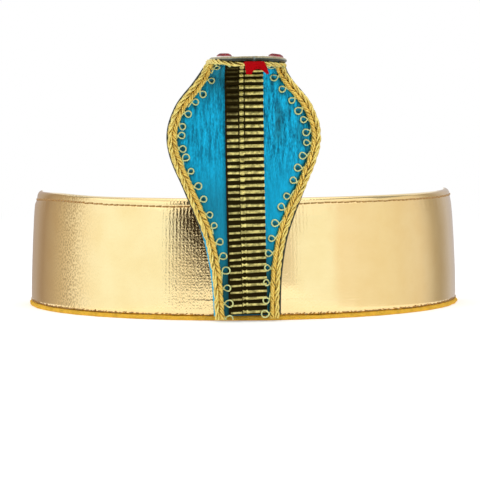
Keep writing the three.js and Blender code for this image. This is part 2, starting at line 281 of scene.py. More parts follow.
class CobraSettings(bpy.types.PropertyGroup):
    """Sizes and colours of the cobra's padded wall, tongue and eyes"""

    forward: size("Forward", "From the middle of the opening to the middle of the wall", 103.6)
    foot: size("Foot", "Height of the lower ends of the braid", 0.8)
    side: size("Side", "How far to one side it is sewn on", 1.3)
    turn: angle("Turn", "Turn about the vertical", 7.5)
    tilt: angle("Tilt", "Sideways tilt", 0.6)
    lean_back: angle("Lean back", "Slope of the part that lies on the band", 2.7)
    straight: size("Straight", "Length of the part that lies on the band", 45)
    lean_forward: angle("Lean forward", "Slope where the gentle curve ends", 6)
    curve: size("Curve", "Length of the gentle forward curve", 41.2)
    neck_radius: size("Neck", "Radius of the bend between hood and head", 8)
    head_pitch: angle("Head", "From upright to the direction of the head", 90)
    head_crown: size("Crown", "How far the right side of the head droops", 0.9)
    crown_half: size("Crown half width", "Half width over which the side droops", 13.4)
    corner_pull: size("Corner", "How far the head's left corner is drawn in under the braid", 1.5)
    wall_middle: size("Padding", "Padded thickness down the middle", 3)
    wall_edge: size("Edge", "Thickness at the edge", 1.8)
    wall_head: size("Head wall", "Thickness of the head", 1.5)
    puff: size("Puff", "How far the hood swells between the braid and the ribbon", 0.35)
    tongue_half: size("Tongue half width", "Half width of the tongue at its tips", 4)
    tongue_root_half: size("Root half width", "Half width of the tongue where it is glued", 3.5)
    tongue_side: size("Tongue side", "Place of its root from the middle of the snout", -0.1)
    tongue_drift: size("Tongue drift", "How far sideways it hangs from root to tips", 0.5)
    tongue_thick: size("Tongue thickness", "Thickness of the felt", 1)
    tongue_root: size("Tongue root", "Length of it under the snout", 1.4)
    tongue_bend: size("Tongue bend", "Radius of its droop", 3)
    tongue_droop: angle("Tongue droop", "Below the direction of the head", 45)
    tongue_length: size("Tongue length", "Root to tips", 8)
    fork_depth: size("Fork", "Depth of the fork", 2.6)
    fork_centre: size("Fork centre", "How far to one side the fork is cut", 0.6)
    fork_half: size("Fork half width", "Half width of the fork", 2.6)
    eye_along: size("Eyes along", "Place of the eyes along the wall", 105)
    eye_across: size("Eyes across", "Place of the eyes from the middle", 9.2)
    eye_shift: size("Eye shift", "How far to one side both eyes sit", 0.6)
    eye_tilt: angle("Eye tilt", "Slope of the right eye's seat", 7)
    blue_bright: colour("Bright blue", "Foil of the hood", 0.008, 0.53, 0.87)
    # painted shade: the creases and flecks of the foil are darkened towards this blue
    blue_dark: colour("Dark blue", "Foil in its creases", 0.002, 0.145, 0.255)
    # painted shade: the colour that the foil is darkened towards in the loops, beside the braid, at the
    # neck, the foot and the puckers
    blue_shade: colour("Shade", "Foil that is pressed in or bends out of the light", 0.012, 0.045, 0.020)
    # partly the cloth's own edge, partly painted shade: the turned edge of the hood is coloured dark teal
    edge_teal: colour("Edge", "Turned edge of the hood", 0.045, 0.050, 0.034)
    back_khaki: colour("Back", "Cloth of the back and of the top of the head", 0.48, 0.42, 0.24)
    tongue_red: colour("Tongue", "Tongue felt", 0.41, 0.0005, 0.003)
    stone_red: colour("Stones", "Acrylic of the eyes", 0.30, 0.003, 0.012)
    # painted light: the pale girdle stands in for light showing through the acrylic
    stone_lit_girdle: colour("Girdle", "Clear edge of the eyes", 0.80, 0.45, 0.45)


class TrimSettings(bpy.types.PropertyGroup):
    """Sizes and colours of the ribbon, braid and thread loops"""

    strip_half: size("Ribbon half width", "Half width of the ribbed ribbon", 6.9)
    strip_start: size("Ribbon start", "Along the wall", 1.7)
    strip_end: size("Ribbon end", "Along the wall", 110)
    strip_base: size("Ribbon base", "Thickness under the ribs", 0.7)
    rib_pitch: size("Rib pitch", "From one rib to the next", 2.38)
    rib_raise: size("Rib height", "Height of a rib", 0.9)
    seam_across: size("Ribbon seam", "Place of the row of stitches that pinches the ribs", -2.1)
    gap_across: size("Ribbon gap", "Place of the thin gap in the ribs", -0.05)
    braid_margin: size("Braid margin", "Wall left outside the braid", 0.1)
    foot_tuck: size("Foot tuck", "How much further in the braid is sewn at the right of the foot", 0.8)
    cord_radius: size("Cord radius", "Radius of each of the braid's two cords", 0.93)
    cord_offset: size("Cord offset", "From the middle of the braid to a cord", 0.84)
    snout_setback: size("Setback", "How far the braid stands back at the snout", 1.7)
    outer_lay: size("Outer lay", "Length of one turn of the outer cord's strands", 9)
    inner_lay: size("Inner lay", "Length of one turn of the inner cord's strands", 5)
    loop_spacing: size("Loop spacing", "From one thread loop to the next", 5.45)
    loop_start: size("Loop start", "From the right foot to the first thread loop", 1.4)
    left_loop_start: size("Left loop start", "From the left foot to the first thread loop", 0.4)
    loop_wire: size("Loop thread", "Radius of a loop's thread", 0.25)
    outer_strands: IntProperty(name="Outer strands", description="Of the outer cord", default=3, min=2)
    inner_strands: IntProperty(name="Inner strands", description="Of the inner cord", default=4, min=2)
    thread_pale: colour("Pale thread", "Metal thread of the braid", 1.0, 0.87, 0.29)
    thread_ochre: colour("Inner thread", "Metal thread of the inner cord", 1.0, 0.76, 0.20)
    # painted shade: the braid's thread between its filaments takes this colour
    thread_deep: colour("Deep thread", "Metal thread in the folds of the braid", 0.62, 0.36, 0.05)
    loop_pale: colour("Loop thread", "Thread of the loops", 0.90, 0.95, 0.44)
    # painted shade: the loops' thread between its filaments takes this colour
    loop_deep: colour("Loop thread, deep", "Thread of the loops in its folds", 0.46, 0.49, 0.16)
    rib_gold: colour("Rib gold", "Metal thread of the ribs", 1.0, 0.89, 0.32)
    rib_black: colour("Rib black", "Ground of the ribbon", 0.020, 0.0135, 0.002)


class StageSettings(bpy.types.PropertyGroup):
    """Camera, floor and surroundings"""

    camera_place: FloatVectorProperty(
        name="Camera",
        description="Place of the camera",
        default=(-0.00124, -1.231, 0.08635),
        subtype="TRANSLATION",
        unit="LENGTH",
    )
    camera_pitch: angle("Pitch", "How far the camera looks down", 2.9)
    camera_roll: angle("Roll", "How far the camera leans to its side", -0.368)
    lens: FloatProperty(name="Lens", description="Focal length on a 36 mm sensor", default=236.1)
    floor_white: colour("Floor", "Paint of the floor", 0.90, 0.90, 0.895)
    surround: FloatProperty(name="Surround", description="Brightness of the room", default=0.40, min=0)


# Arithmetic on whole arrays

def smoothstep(value, start, end):
    """0 before start, 1 after end, and the cubic 3t^2 - 2t^3 between them."""
    t = np.clip((value - start) / (end - start), 0.0, 1.0)
    return t * t * (3.0 - 2.0 * t)


def bell(value, centre, width):
    """A bell curve of height 1: e to minus the square of the distance from its centre in widths."""
    return np.exp(-(((value - centre) / width) ** 2))


def catmull_rom(table, steps):
    """A smooth curve through the rows of a table: on each span the Catmull-Rom cubic of four rows."""
    rows = np.asarray(table, float)
    fenced = np.concatenate([rows[:1], rows, rows[-1:]])
    t = np.linspace(0.0, len(rows) - 1.0, steps)
    span = np.minimum(t.astype(int), len(rows) - 2)
    u = (t - span)[:, None]
    a, b, c, d = (fenced[span + k] for k in range(4))
    return b + 0.5 * u * (c - a + u * (2 * a - 5 * b + 4 * c - d + u * (3 * (b - c) + d - a)))


def summed(steps):
    """Running sum of some steps, which starts at 0."""
    return np.concatenate([[0.0], np.cumsum(steps)])


def running_length(line):
    """Length along a line of points, from its first point to each of them."""
    return summed(np.linalg.norm(np.diff(line, axis=0), axis=1))


def joined(*coordinates):
    """Points from arrays of their coordinates, which are widened to one shape."""
    return np.stack(np.broadcast_arrays(*coordinates), axis=-1)


def unit(vectors):
    """Vectors of length 1 in the same directions."""
    return vectors / np.linalg.norm(vectors, axis=-1, keepdims=True)


def quarter_turn(heading):
    """Flat directions turned a quarter to the left."""
    return joined(-heading[:, 1], heading[:, 0])


def along_line(place, length, line):
    """Rows of a line at some places along it, where length says how far along each of its own rows is."""
    return joined(*(np.interp(place, length, column) for column in line.T))


def waves(u, v, wavelength, seed, count=7):
    """Gentle unevenness, mostly -1 to 1: plane waves of seeded length, heading and phase, added up and
    divided by the root of their number."""
    rng = np.random.default_rng(seed)
    heading = rng.uniform(0.0, 2.0 * np.pi, count)
    phase = rng.uniform(0.0, 2.0 * np.pi, count)
    number = 2.0 * np.pi / (wavelength * rng.uniform(0.7, 1.7, count))
    u, v = np.broadcast_arrays(u, v)
    swing = u[..., None] * np.cos(heading) + v[..., None] * np.sin(heading)
    return np.cos(swing * number + phase).sum(axis=-1) / math.sqrt(count)


def side_walk(lengths, directions, along):
    """Side view of a bent strip: how far forward, how high and in which direction it is after a length.

    The direction, from upright to forward, changes evenly over each stretch, and its sine and cosine are
    summed.
    """
    knots = summed(lengths)
    fine = np.linspace(0.0, knots[-1], WALK_STEPS)
    direction = np.interp(fine, knots, directions)
    middle = 0.5 * (direction[1:] + direction[:-1])
    forward, height = summed(np.sin(middle)) * fine[1], summed(np.cos(middle)) * fine[1]
    return [np.interp(along, fine, reached) for reached in (forward, height, direction)]


# Meshes from grids

def quad_corners(grid):
    """The four corners of each face of a grid [part, row, column], in order round the face."""
    return np.stack([grid[:, :-1, :-1], grid[:, :-1, 1:], grid[:, 1:, 1:], grid[:, 1:, :-1]], axis=3)


def tube_uv(shape, girth, length):
    """UV map of a tube in millimetres: round it from 0 to girth, along it from 0 to length."""
    parts, rows, columns = shape[:3]
    around = np.linspace(0.0, girth / MM, columns + 1)[None, None, :]
    along = np.linspace(0.0, length / MM, rows)[None, :, None]
    full = np.zeros((parts, rows, columns + 1))
    return joined(full + around, full + along)


def flat_uv(across, along):
    """UV map in millimetres of sections [row, column] that run across a strip and back."""
    return joined(np.hstack([across, across[:, :1]]), along) / MM


def rounded_section(flat, steps):
    """Section of a flat piece: along its front, round its half-round edge and back along its rear.

    Its three rows say how far along it is, from flat, and the cosine and the sine of its turn round the
    edge: how far the edge stands out and how much the surface faces the front.
    """
    turn = np.linspace(0.5 * np.pi, -0.5 * np.pi, steps + 2)[1:-1]
    level = 0 * flat
    reach = np.concatenate([flat, np.ones(steps), flat[::-1]])
    edge = np.concatenate([level, np.cos(turn), level])
    face = np.concatenate([level + 1, np.sin(turn), level - 1])
    return np.stack([reach, edge, face])


def closed_surface(name, points, uv, values=None, split=False):
    """One mesh from grids of points [part, row, column], each of which is a tube with closed ends.

    Neighbouring points are joined by faces, the last column to the first, and the first and last rows are
    closed by one face each. A part whose faces enclose a negative volume is turned inside out. uv has one
    column more than the points. values holds named numbers of the points. split cuts each face into two
    flat triangles.
    """
    parts, rows, columns = points.shape[:3]
    number = np.arange(parts * rows * columns).reshape(parts, rows, columns)
    ring = np.concatenate([number, number[:, :, :1]], axis=2)
    quads = quad_corners(ring).reshape(parts, -1, 4)
    quad_uv = quad_corners(uv).reshape(parts, -1, 4, 2)
    if split:
        quads = quads[:, :, [0, 1, 2, 0, 2, 3]].reshape(parts, -1, 3)
        quad_uv = quad_uv[:, :, [0, 1, 2, 0, 2, 3]].reshape(parts, -1, 3, 2)
    flat = (points - points.mean(axis=(1, 2), keepdims=True)).reshape(-1, 3)
    a, b, c = (flat[quads[:, :, k]] for k in range(3))
    d = flat[quads[:, :, -1]]
    enclosed = (a * np.cross(b, c) + a * np.cross(c, d)).sum(axis=(1, 2))
    caps = np.stack([number[:, 0, ::-1], number[:, -1]], axis=1)
    cap_uv = np.stack([uv[:, 0, -2::-1], uv[:, -1, :-1]], axis=1)
    inside_out = enclosed < 0
    for corners in (quads, quad_uv, caps, cap_uv):
        corners[inside_out] = corners[inside_out][:, :, ::-1]
    faces = quads.reshape(-1, quads.shape[2]).tolist() + caps.reshape(-1, columns).tolist()
    mesh = bpy.data.meshes.new(name)
    mesh.from_pydata(points.reshape(-1, 3).tolist(), [], faces)
    layer = mesh.uv_layers.new(name="millimetres")
    layer.data.foreach_set("uv", np.concatenate([quad_uv.ravel(), cap_uv.ravel()]))
    for label, numbers in (values or {}).items():
        mesh.attributes.new(label, "FLOAT", "POINT").data.foreach_set("value", numbers.ravel())
    if split:
        mesh.shade_flat()
    else:
        mesh.shade_smooth()
        mesh.set_sharp_from_angle(angle=SHARP_EDGE)
    mesh.validate()
    return mesh


def link_object(context, name, data):
    """A new object of the scene."""
    made = bpy.data.objects.new(name, data)
    context.scene.collection.objects.link(made)
    return made


def add_piece(context, name, mesh, finish, slot, *nodes):
    """Puts a mesh into the scene as a finished piece, in place of the solids that it stands for."""
    piece = link_object(context, name, mesh)
    mesh.materials.append(finish)
    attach(piece, BODY)
    if nodes:
        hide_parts(*nodes)
        low, high = (np.array([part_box(node)[k] for node in nodes]) for k in range(2))
        spots = np.array(piece.bound_box)
        over = np.concatenate([low.min(axis=0) - spots.min(axis=0), spots.max(axis=0) - high.max(axis=0)])
        if over.max() > FIT_MARGIN:
            raise RuntimeError(f"{name} stands {over.max() / MM:.1f} mm outside the solid it stands for")
    return piece


# Shape of the band

def ring_points(band, turn, out, rise):
    """Points of the oval ring: turn from the front, out from the inside of the lining, rise above its foot.

    The half axes of the oval shrink evenly with the height, and out runs along the oval's own normal.
    """
    lean = band.lean * rise / band.height
    across = band.half_width - lean
    deep = band.half_length - lean
    sine, cosine = np.sin(turn), np.cos(turn)
    reach = out / np.hypot(deep * sine, across * cosine)
    x = across * sine + reach * deep * sine
    y = -deep * cosine - reach * across * cosine
    return joined(x, y, rise)


def ring_arc(band):
    """Two arrays: turns, and the length round the ring from the front to each of them, at half height."""
    turn = np.linspace(-math.pi, math.pi, RING_STEPS)
    line = ring_points(band, turn, band.lining_thick, np.full_like(turn, 0.5 * band.height))
    length = running_length(line)
    return turn, length - 0.5 * length[-1]


def arc_at(band, turn):
    """Length round the ring from the front to a turn."""
    return np.interp(turn, *ring_arc(band))


def cover_levels():
    """Rise and padded thickness of the cover: a smooth curve through its levels."""
    return catmull_rom(COVER_LEVELS, LEVEL_STEPS) * MM


def stitch_line(band, arc):
    """Height of the top row of stitches, which wanders a little round the band."""
    table = np.array(STITCH_LINE) * MM
    return band.stitch_rise + np.interp(arc, table[:, 0], table[:, 1])


def cover_thick(band, arc, rise):
    """Padded thickness of the cover: that of its levels, with a low ridge where each hem ends, a groove at
    the stitches that is deepest between them, and a gentle unevenness. The left end of the top hem is drawn
    in."""
    levels = cover_levels()
    thick = np.interp(rise, levels[:, 0], levels[:, 1])
    for height, level, wavelength, seed in HEM_RIDGES:
        uneven = 0.6 + 0.6 * waves(arc, 0.0, wavelength * MM, seed)
        thick = thick + height * MM * bell(rise, level * MM, 0.5 * MM) * uneven
    pull = 1.0 + 0.35 * np.cos(2.0 * np.pi * arc / band.stitch_pitch)
    row = stitch_line(band, arc)
    groove = 0.16 * MM * bell(rise, row, 0.4 * MM) * pull
    pucker = 0.02 * MM * bell(rise, row - 2 * MM, 1.6 * MM) * waves(arc, 0.0, 4 * MM, 5)
    body = smoothstep(rise, 5 * MM, 14 * MM) * (1.0 - smoothstep(rise, 30 * MM, 38 * MM))
    swell = 0.10 * MM * body * waves(arc, 0.6 * rise, 60 * MM, 6)
    left_end = smoothstep(-arc, 105 * MM, 128 * MM)
    drawn_in = 0.45 * MM * left_end * smoothstep(rise, row - 2.2 * MM, row + 0.2 * MM)
    return np.maximum(thick - groove + pucker + swell - drawn_in, 0.15 * MM)


def hem_lift(band, arc, rise, top):
    """How far the top hem stands above its level: a bell curve round the band, from the stitches up."""
    row = stitch_line(band, arc) + 0.3 * MM
    return 0.5 * MM * bell(arc, -90 * MM, 20 * MM) * smoothstep(rise, row, top)


def band_wall(name, band, turn, out, rise, values=None):
    """A wall of the ring: a closed section, its out and rise at each turn [row, column], carried round the
    oval.

    Its UV map holds the length round the ring and the length round the section, in millimetres. values
    holds named numbers of its points.
    """
    points = ring_points(band, turn[:, None], out, rise)
    middle = ring_points(band, turn, np.full_like(turn, out.mean()), np.full_like(turn, rise.mean()))
    section = joined(out[0], rise[0])
    girth = running_length(np.concatenate([section, section[:1]]))
    uv = joined(running_length(middle)[:, None], girth[None, :]) / MM
    return closed_surface(name, points[None], uv[None], values)


def stitch_tubes(band, arc, rise, out, heading, length, radius, face=1.0):
    """Short threads laid on the ring, a round tube for each place of the arrays arc, rise and out.

    t runs from -1 to 1 along a thread. Its radius shrinks by the root of 1 - t^6 and its middle line sinks
    by t^4, so that both ends dip into the cloth. heading turns it from along the ring towards upright.
    """
    t = np.linspace(-1.0, 1.0, STITCH_STEPS)[None, :, None]
    swell = radius * np.sqrt(np.maximum(1.0 - t**6, 0.03))
    centre = radius * (0.75 - 2.0 * t**4)
    run = 0.5 * length * t
    slip = swell * np.cos(TUBE_TURNS)
    cosine, sine = np.cos(heading)[:, None, None], np.sin(heading)[:, None, None]
    arcs = arc[:, None, None] + run * cosine - slip * sine
    rises = rise[:, None, None] + run * sine + slip * cosine
    outs = out[:, None, None] + face * (centre + swell * np.sin(TUBE_TURNS))
    turns, lengths = ring_arc(band)
    return ring_points(band, np.interp(arcs, lengths, turns), outs, rises)


# Shape of the cobra

def outline_curve(steps):
    """Along and half width of the hood and head laid flat: a smooth curve through the outline's rows."""
    curve = catmull_rom(OUTLINE, steps) * MM
    return curve[:, 0], np.maximum(curve[:, 1], 0.0)


def stand_cobra(cobra, local):
    """Tilts and turns points of the cobra's own frame, then moves them in front of the band."""
    turned = Matrix.Rotation(cobra.turn, 3, "Z") @ Matrix.Rotation(-cobra.tilt, 3, "Y")
    return local @ np.array(turned).T + np.array([cobra.side, -cobra.forward, 0.0])


def cobra_walk(cobra, along):
    """Side view of the cobra: how far forward, how high and in which direction it is after a length.

    Its wall leans back, curves gently forward, bends at the neck and runs out level as the head.
    """
    neck = cobra.neck_radius * (cobra.head_pitch - cobra.lean_forward)
    lengths = [cobra.straight, cobra.curve, neck, HEAD_REACH]
    directions = [-cobra.lean_back] * 2 + [cobra.lean_forward] + [cobra.head_pitch] * 2
    return side_walk(lengths, directions, along)


def cobra_points(cobra, across, along, raised):
    """Points of the cobra: across it, along it from its foot, and raised off its middle towards the belly.

    The wall follows the side view, and the right side of the head droops by a parabola.
    """
    forward, height, direction = cobra_walk(cobra, along)
    bent = np.sin(np.maximum(direction, 0.0)) ** 2
    lift = raised + cobra.head_crown * bent * (np.maximum(across, 0.0) / cobra.crown_half) ** 2
    y = -(forward + lift * np.cos(direction))
    z = cobra.foot + height - lift * np.sin(direction)
    return stand_cobra(cobra, joined(across, y, z))


def wall_half(cobra, share, along):
    """Half the wall's thickness: a parabola across the padded hood, and even on the head."""
    padded = cobra.wall_edge + (cobra.wall_middle - cobra.wall_edge) * (1.0 - share**2)
    thinned = smoothstep(along, 78 * MM, 98 * MM)
    return 0.5 * (padded + (cobra.wall_head - padded) * thinned)


def hood_front(cobra, trim, across, along):
    """Height of the hood's front face: half the wall, swollen halfway between the braid and the ribbon."""
    half = np.maximum(np.interp(along, *outline_curve(HALF_STEPS)), 1 * MM)
    share = np.clip(np.abs(across) / half, 0.0, 1.0)
    room = half - 2.0 * MM - trim.strip_half
    middle = trim.strip_half + 0.5 * room
    swollen = bell(np.abs(across), middle, np.maximum(0.35 * room, 1.5 * MM))
    on_hood = smoothstep(room, 1 * MM, 9 * MM) * (1.0 - smoothstep(along, 76 * MM, 92 * MM))
    return wall_half(cobra, share, along) + cobra.puff * swollen * on_hood


def left_corner(across, along):
    """1 along the left edge of the head, falling to 0 towards its middle and down the neck."""
    return smoothstep(-across, 6 * MM, 12 * MM) * smoothstep(along, 86 * MM, 97 * MM)


def braid_inset(trim):
    """From the edge of the hood to the inner edge of the braid."""
    return trim.braid_margin + 2.0 * (trim.cord_radius + trim.cord_offset)


def edge_line(trim, inset, spacing):
    """Line inside the outline laid flat, up the right side, round the snout and down the left side.

    Each point of the outline is moved by inset along the inward normal, further at the snout and at the
    right of the foot. Returns even points (across, along), their tangents and their lengths along the line.
    """
    along, half = outline_curve(EDGE_STEPS)
    outer = joined(half, along)
    depth = inset + trim.snout_setback * smoothstep(along, 106 * MM, 117 * MM)
    inner = outer + depth[:, None] * quarter_turn(unit(np.gradient(outer, axis=0)))
    right = inner[inner[:, 0] > 0.0]
    line = np.concatenate([right, right[::-1] * [-1.0, 1.0]])
    low = 1.0 - smoothstep(line[:, 1], 36 * MM, 50 * MM)
    line[:, 0] -= trim.foot_tuck * low * smoothstep(line[:, 0], 0.0, 6 * MM)
    length = running_length(line)
    even = np.linspace(0.0, length[-1], int(length[-1] / spacing) + 1)
    points = along_line(even, length, line)
    return points, unit(np.gradient(points, axis=0)), even


def loop_places(trim):
    """Where the thread loops leave the braid: points of the flat frame, and the tangent and the inward
    direction at each.

    They are counted from both feet up to the snout, closer where the hood is widest, and none of them is
    set on the ribbon.
    """
    line, heading, length = edge_line(trim, braid_inset(trim), 0.2 * MM)
    spacing = trim.loop_spacing * (1.0 - 0.2 * bell(line[:, 1], 68 * MM, 14 * MM))
    number = summed(np.diff(length) / spacing[1:])
    snout = np.argmax(line[:, 1] >= 0.999 * line[:, 1].max())
    reach = np.interp(np.arange(number[snout]), number, length)
    place = np.concatenate([trim.loop_start + reach, length[-1] - trim.left_loop_start - reach[::-1]])
    points, tangent = (along_line(place, length, rows) for rows in (line, heading))
    clear = np.abs(points[:, 0]) > 7.5 * MM
    return points[clear], tangent[clear], quarter_turn(tangent[clear])


def flat_tubes(centre, radius):
    """Round tubes along lines [part, row] in the flat frame (across, along, raised)."""
    tangent = unit(np.gradient(centre, axis=1))
    across = unit(np.cross(tangent, [0.0, 0.0, 1.0]))
    upward = np.cross(across, tangent)
    turn = TUBE_TURNS[:, None]
    ring = np.cos(turn) * across[:, :, None] + np.sin(turn) * upward[:, :, None]
    return centre[:, :, None] + radius * ring


def bend_to_cobra(cobra, flat):
    """Bends points (across, along, raised) of the flat frame to the shape of the cobra."""
    return cobra_points(cobra, flat[..., 0], flat[..., 1], flat[..., 2])


def twisted_cord(cobra, trim, offset, strands, lay):
    """Strands of one cord of the braid in the flat frame: helices round the cord's middle line.

    strands equal tubes, a little thinner than tubes that touch, fill the cord's radius, and one turn of a
    helix takes the length lay. The turn and the helix's radius are a little uneven.
    """
    inset = trim.braid_margin + trim.cord_radius + trim.cord_offset + offset
    points, tangent, length = edge_line(trim, inset, 0.36 * MM)
    share = 1.0 / (1.0 + 1.0 / math.sin(math.pi / strands))
    thread = trim.cord_radius * share * 0.97
    strand = np.arange(strands)[:, None]
    loose = waves(length, strand, 7 * MM, 71)
    swing = (trim.cord_radius - thread) * (1.0 + 0.12 * waves(length, strand, 5 * MM, 72))
    drawn = 0.6 * cobra.corner_pull * left_corner(points[:, 0], points[:, 1])
    raised = wall_half(cobra, 0.8, points[:, 1]) + 0.1 * MM + trim.cord_radius - drawn
    turn = 2.0 * np.pi * (length / lay + strand / strands) + 0.4 * loose
    flat = points + (swing * np.cos(turn))[..., None] * quarter_turn(tangent)
    centre = np.concatenate([flat, (raised + swing * np.sin(turn))[..., None]], axis=-1)
    return flat_tubes(centre, thread), 2.0 * np.pi * thread, length[-1]


# Materials

def dimmed(shade, share):
    """A colour with a share of its brightness."""
    return [channel * share for channel in shade]


class Finish:
    """A procedural material while it is put together, with short ways to add and join its nodes."""

    WAVE_PERIOD = math.pi / 10.0  # of a wave texture whose scale is 1
    MIX_FACTOR, MIX_A, MIX_B, MIX_RESULT = 0, 6, 7, 2  # sockets of a mix node that mixes colours

    def __init__(self, name, **values):
        self.material = bpy.data.materials.new(name)
        self.material.use_nodes = True
        self.nodes = self.material.node_tree.nodes
        self.links = self.material.node_tree.links
        self.shader = self.nodes["Principled BSDF"]
        self.fill(self.shader, values)
        self.uv = self.add("UVMap", uv_map="millimetres").outputs["UV"]
        self.place = self.add("TexCoord").outputs["Object"]

    def fill(self, node, values):
        """Sets a node's sockets to numbers and colours, or joins them to other sockets."""
        for socket, value in values.items():
            target = node.inputs[socket.replace("_", " ") if isinstance(socket, str) else socket]
            if isinstance(value, bpy.types.NodeSocket):
                self.links.new(value, target)
            else:
                target.default_value = value

    def add(self, kind, values=None, **settings):
        """A new node of a kind, with its settings and its sockets."""
        node = self.nodes.new("ShaderNode" + kind)
        for setting, value in settings.items():
            setattr(node, setting, value)
        self.fill(node, values or {})
        return node

    def stretched(self, vector, x, y, z=1.0):
        """Coordinates multiplied by a number along each axis."""
        return self.add("Mapping", {"Vector": vector, "Scale": (x, y, z)}).outputs["Vector"]

    def slanted(self, degrees):
        """The UV map turned by an angle."""
        values = {"Vector": self.uv, "Rotation": (0.0, 0.0, math.radians(degrees))}
        return self.add("Mapping", values).outputs["Vector"]

    def noise(self, vector, grain, detail=3.0):
        """Cloudy noise whose patches are about one grain wide."""
        values = {"Vector": vector, "Scale": 1.0 / grain, "Detail": detail}
        return self.add("TexNoise", values).outputs["Fac"]

    def wave(self, vector, pitch, direction="X", distortion=0.0, fineness=1.0):
        """Ridges, one every pitch, whose lines waver by the distortion."""
        values = {"Vector": vector, "Scale": self.WAVE_PERIOD / pitch, "Distortion": distortion}
        values["Detail Scale"] = fineness
        return self.add("TexWave", values, bands_direction=direction).outputs["Fac"]

    def attribute(self, name):
        """A named number of the mesh."""
        return self.add("Attribute", attribute_name=name).outputs["Fac"]

    def sum(self, first, second):
        """Two numbers added up."""
        return self.add("Math", {0: first, 1: second}, operation="ADD").outputs["Value"]

    def times(self, first, *others):
        """The product of some numbers."""
        for other in others:
            first = self.add("Math", {0: first, 1: other}, operation="MULTIPLY").outputs["Value"]
        return first

    def ramp(self, factor, low, high):
        """A factor stretched so that low becomes 0 and high becomes 1."""
        values = {"Value": factor, "From Min": low, "From Max": high}
        return self.add("MapRange", values).outputs["Result"]

    def blend(self, factor, first, second):
        """A colour between two colours."""
        colours = [c if isinstance(c, bpy.types.NodeSocket) else (*c, 1.0) for c in (first, second)]
        values = {self.MIX_FACTOR: factor, self.MIX_A: colours[0], self.MIX_B: colours[1]}
        return self.add("Mix", values, data_type="RGBA").outputs[self.MIX_RESULT]

    def between(self, factor, low, high):
        """A number between low and high."""
        values = {"Value": factor, "To Min": low, "To Max": high}
        return self.add("MapRange", values).outputs["Result"]

    def bump(self, height, depth, normal=None):
        """Fine relief of a depth in metres, over another relief if one is given."""
        values = {"Height": height, "Distance": depth}
        if normal is not None:
            values["Normal"] = normal
        return self.add("Bump", values).outputs["Normal"]

    def done(self, **values):
        """Joins the last sockets to the shader and hands over the material."""
        self.fill(self.shader, values)
        return self.material


def gold_lame(band):
    """Foiled knit: fine grain and columns of small stitches in relief, over faint patches of deeper gold.

    The mesh says where the cloth is pulled, so that its columns show, and where dark specks are painted on
    the foil near the left end: painted reflection that stands in for glints.
    """
    pitch = band.weave_pitch / MM
    f = Finish("gold_lame", Metallic=1.0)
    pulled, painted_glint_zone = f.attribute("pulled"), f.attribute("painted_glint_zone")
    runs = f.ramp(f.noise(f.stretched(f.uv, 1.0, 0.45), 1.1), 0.34, 0.54)
    dots = f.between(f.wave(f.uv, 0.8 * pitch, "Y", 2.2), 0.68, 1.0)
    columns = f.times(f.wave(f.uv, pitch, "X", 2.0, 3.0), dots, runs, pulled)
    grain = f.noise(f.stretched(f.uv, 1.0, 0.6), 0.45, 2.0)
    knit = f.sum(columns, f.times(grain, f.between(pulled, 0.3, 1.3)))
    relief = f.bump(knit, 0.038 * MM)
    relief = f.bump(f.noise(f.stretched(f.uv, 1.0, 0.4), 3.0), 0.012 * MM, relief)
    worn = f.times(f.ramp(f.noise(f.uv, 12.0), 0.35, 0.75), 0.4)
    tint = f.blend(worn, band.gold_pale, band.gold_deep)
    specks = f.ramp(f.noise(f.stretched(f.uv, 0.8, 0.6), 0.55, 2.0), 0.45, 0.57)
    # painted reflection: dark specks in the zone near the left end, standing in for glints of the foil
    tint = f.blend(f.times(specks, painted_glint_zone, 0.8), tint, dimmed(band.gold_deep, 0.45))
    # painted shade: a little deeper gold at the low points of the grain, which also makes the relief
    tint = f.blend(f.times(f.ramp(grain, 0.6, 0.3), 0.2), tint, band.gold_deep)
    return f.done(Base_Color=tint, Roughness=f.between(f.noise(f.uv, 7.0), 0.1, 0.15), Normal=relief)


def felt(name, shade, deep_share=0.62, sheen=0.3):
    """Felt: short tangled fibres in relief, a little darker where they lie deep, which is painted shade,
    and in random clumps.
    """
    f = Finish(name, Roughness=0.95, Specular_IOR_Level=0.05, Sheen_Weight=sheen, Sheen_Roughness=0.5)
    f.shader.inputs["Sheen Tint"].default_value = (*shade, 1.0)
    fibres = f.noise(f.stretched(f.place, 1.0, 1.0, 1.6), 0.45 * MM, 6.0)
    clumps = f.noise(f.place, 3.0 * MM)
    depth = f.sum(fibres, f.times(clumps, 0.5))
    # painted shade where the fibres lie deep, mixed with random clumps
    tint = f.blend(f.ramp(depth, 0.55, 0.85), dimmed(shade, deep_share), shade)
    return f.done(Base_Color=tint, Normal=f.bump(fibres, 0.16 * MM))


def elastic_knit(band):
    """Knitted elastic: rows of small stitches over its ribs."""
    deep = dimmed(band.elastic_gold, 0.55)
    f = Finish("elastic_knit", Roughness=0.85, Sheen_Weight=0.2)
    loops = f.times(f.wave(f.uv, 0.9, "X", 0.5), f.wave(f.uv, 0.6, "Y", 0.5))
    # painted shade: darker between the knitted loops, which also make the relief
    tint = f.blend(f.ramp(loops, 0.05, 0.7), deep, band.elastic_gold)
    tint = f.blend(f.times(f.noise(f.uv, 4.0), 0.3), tint, deep)
    return f.done(Base_Color=tint, Normal=f.bump(loops, 0.12 * MM))


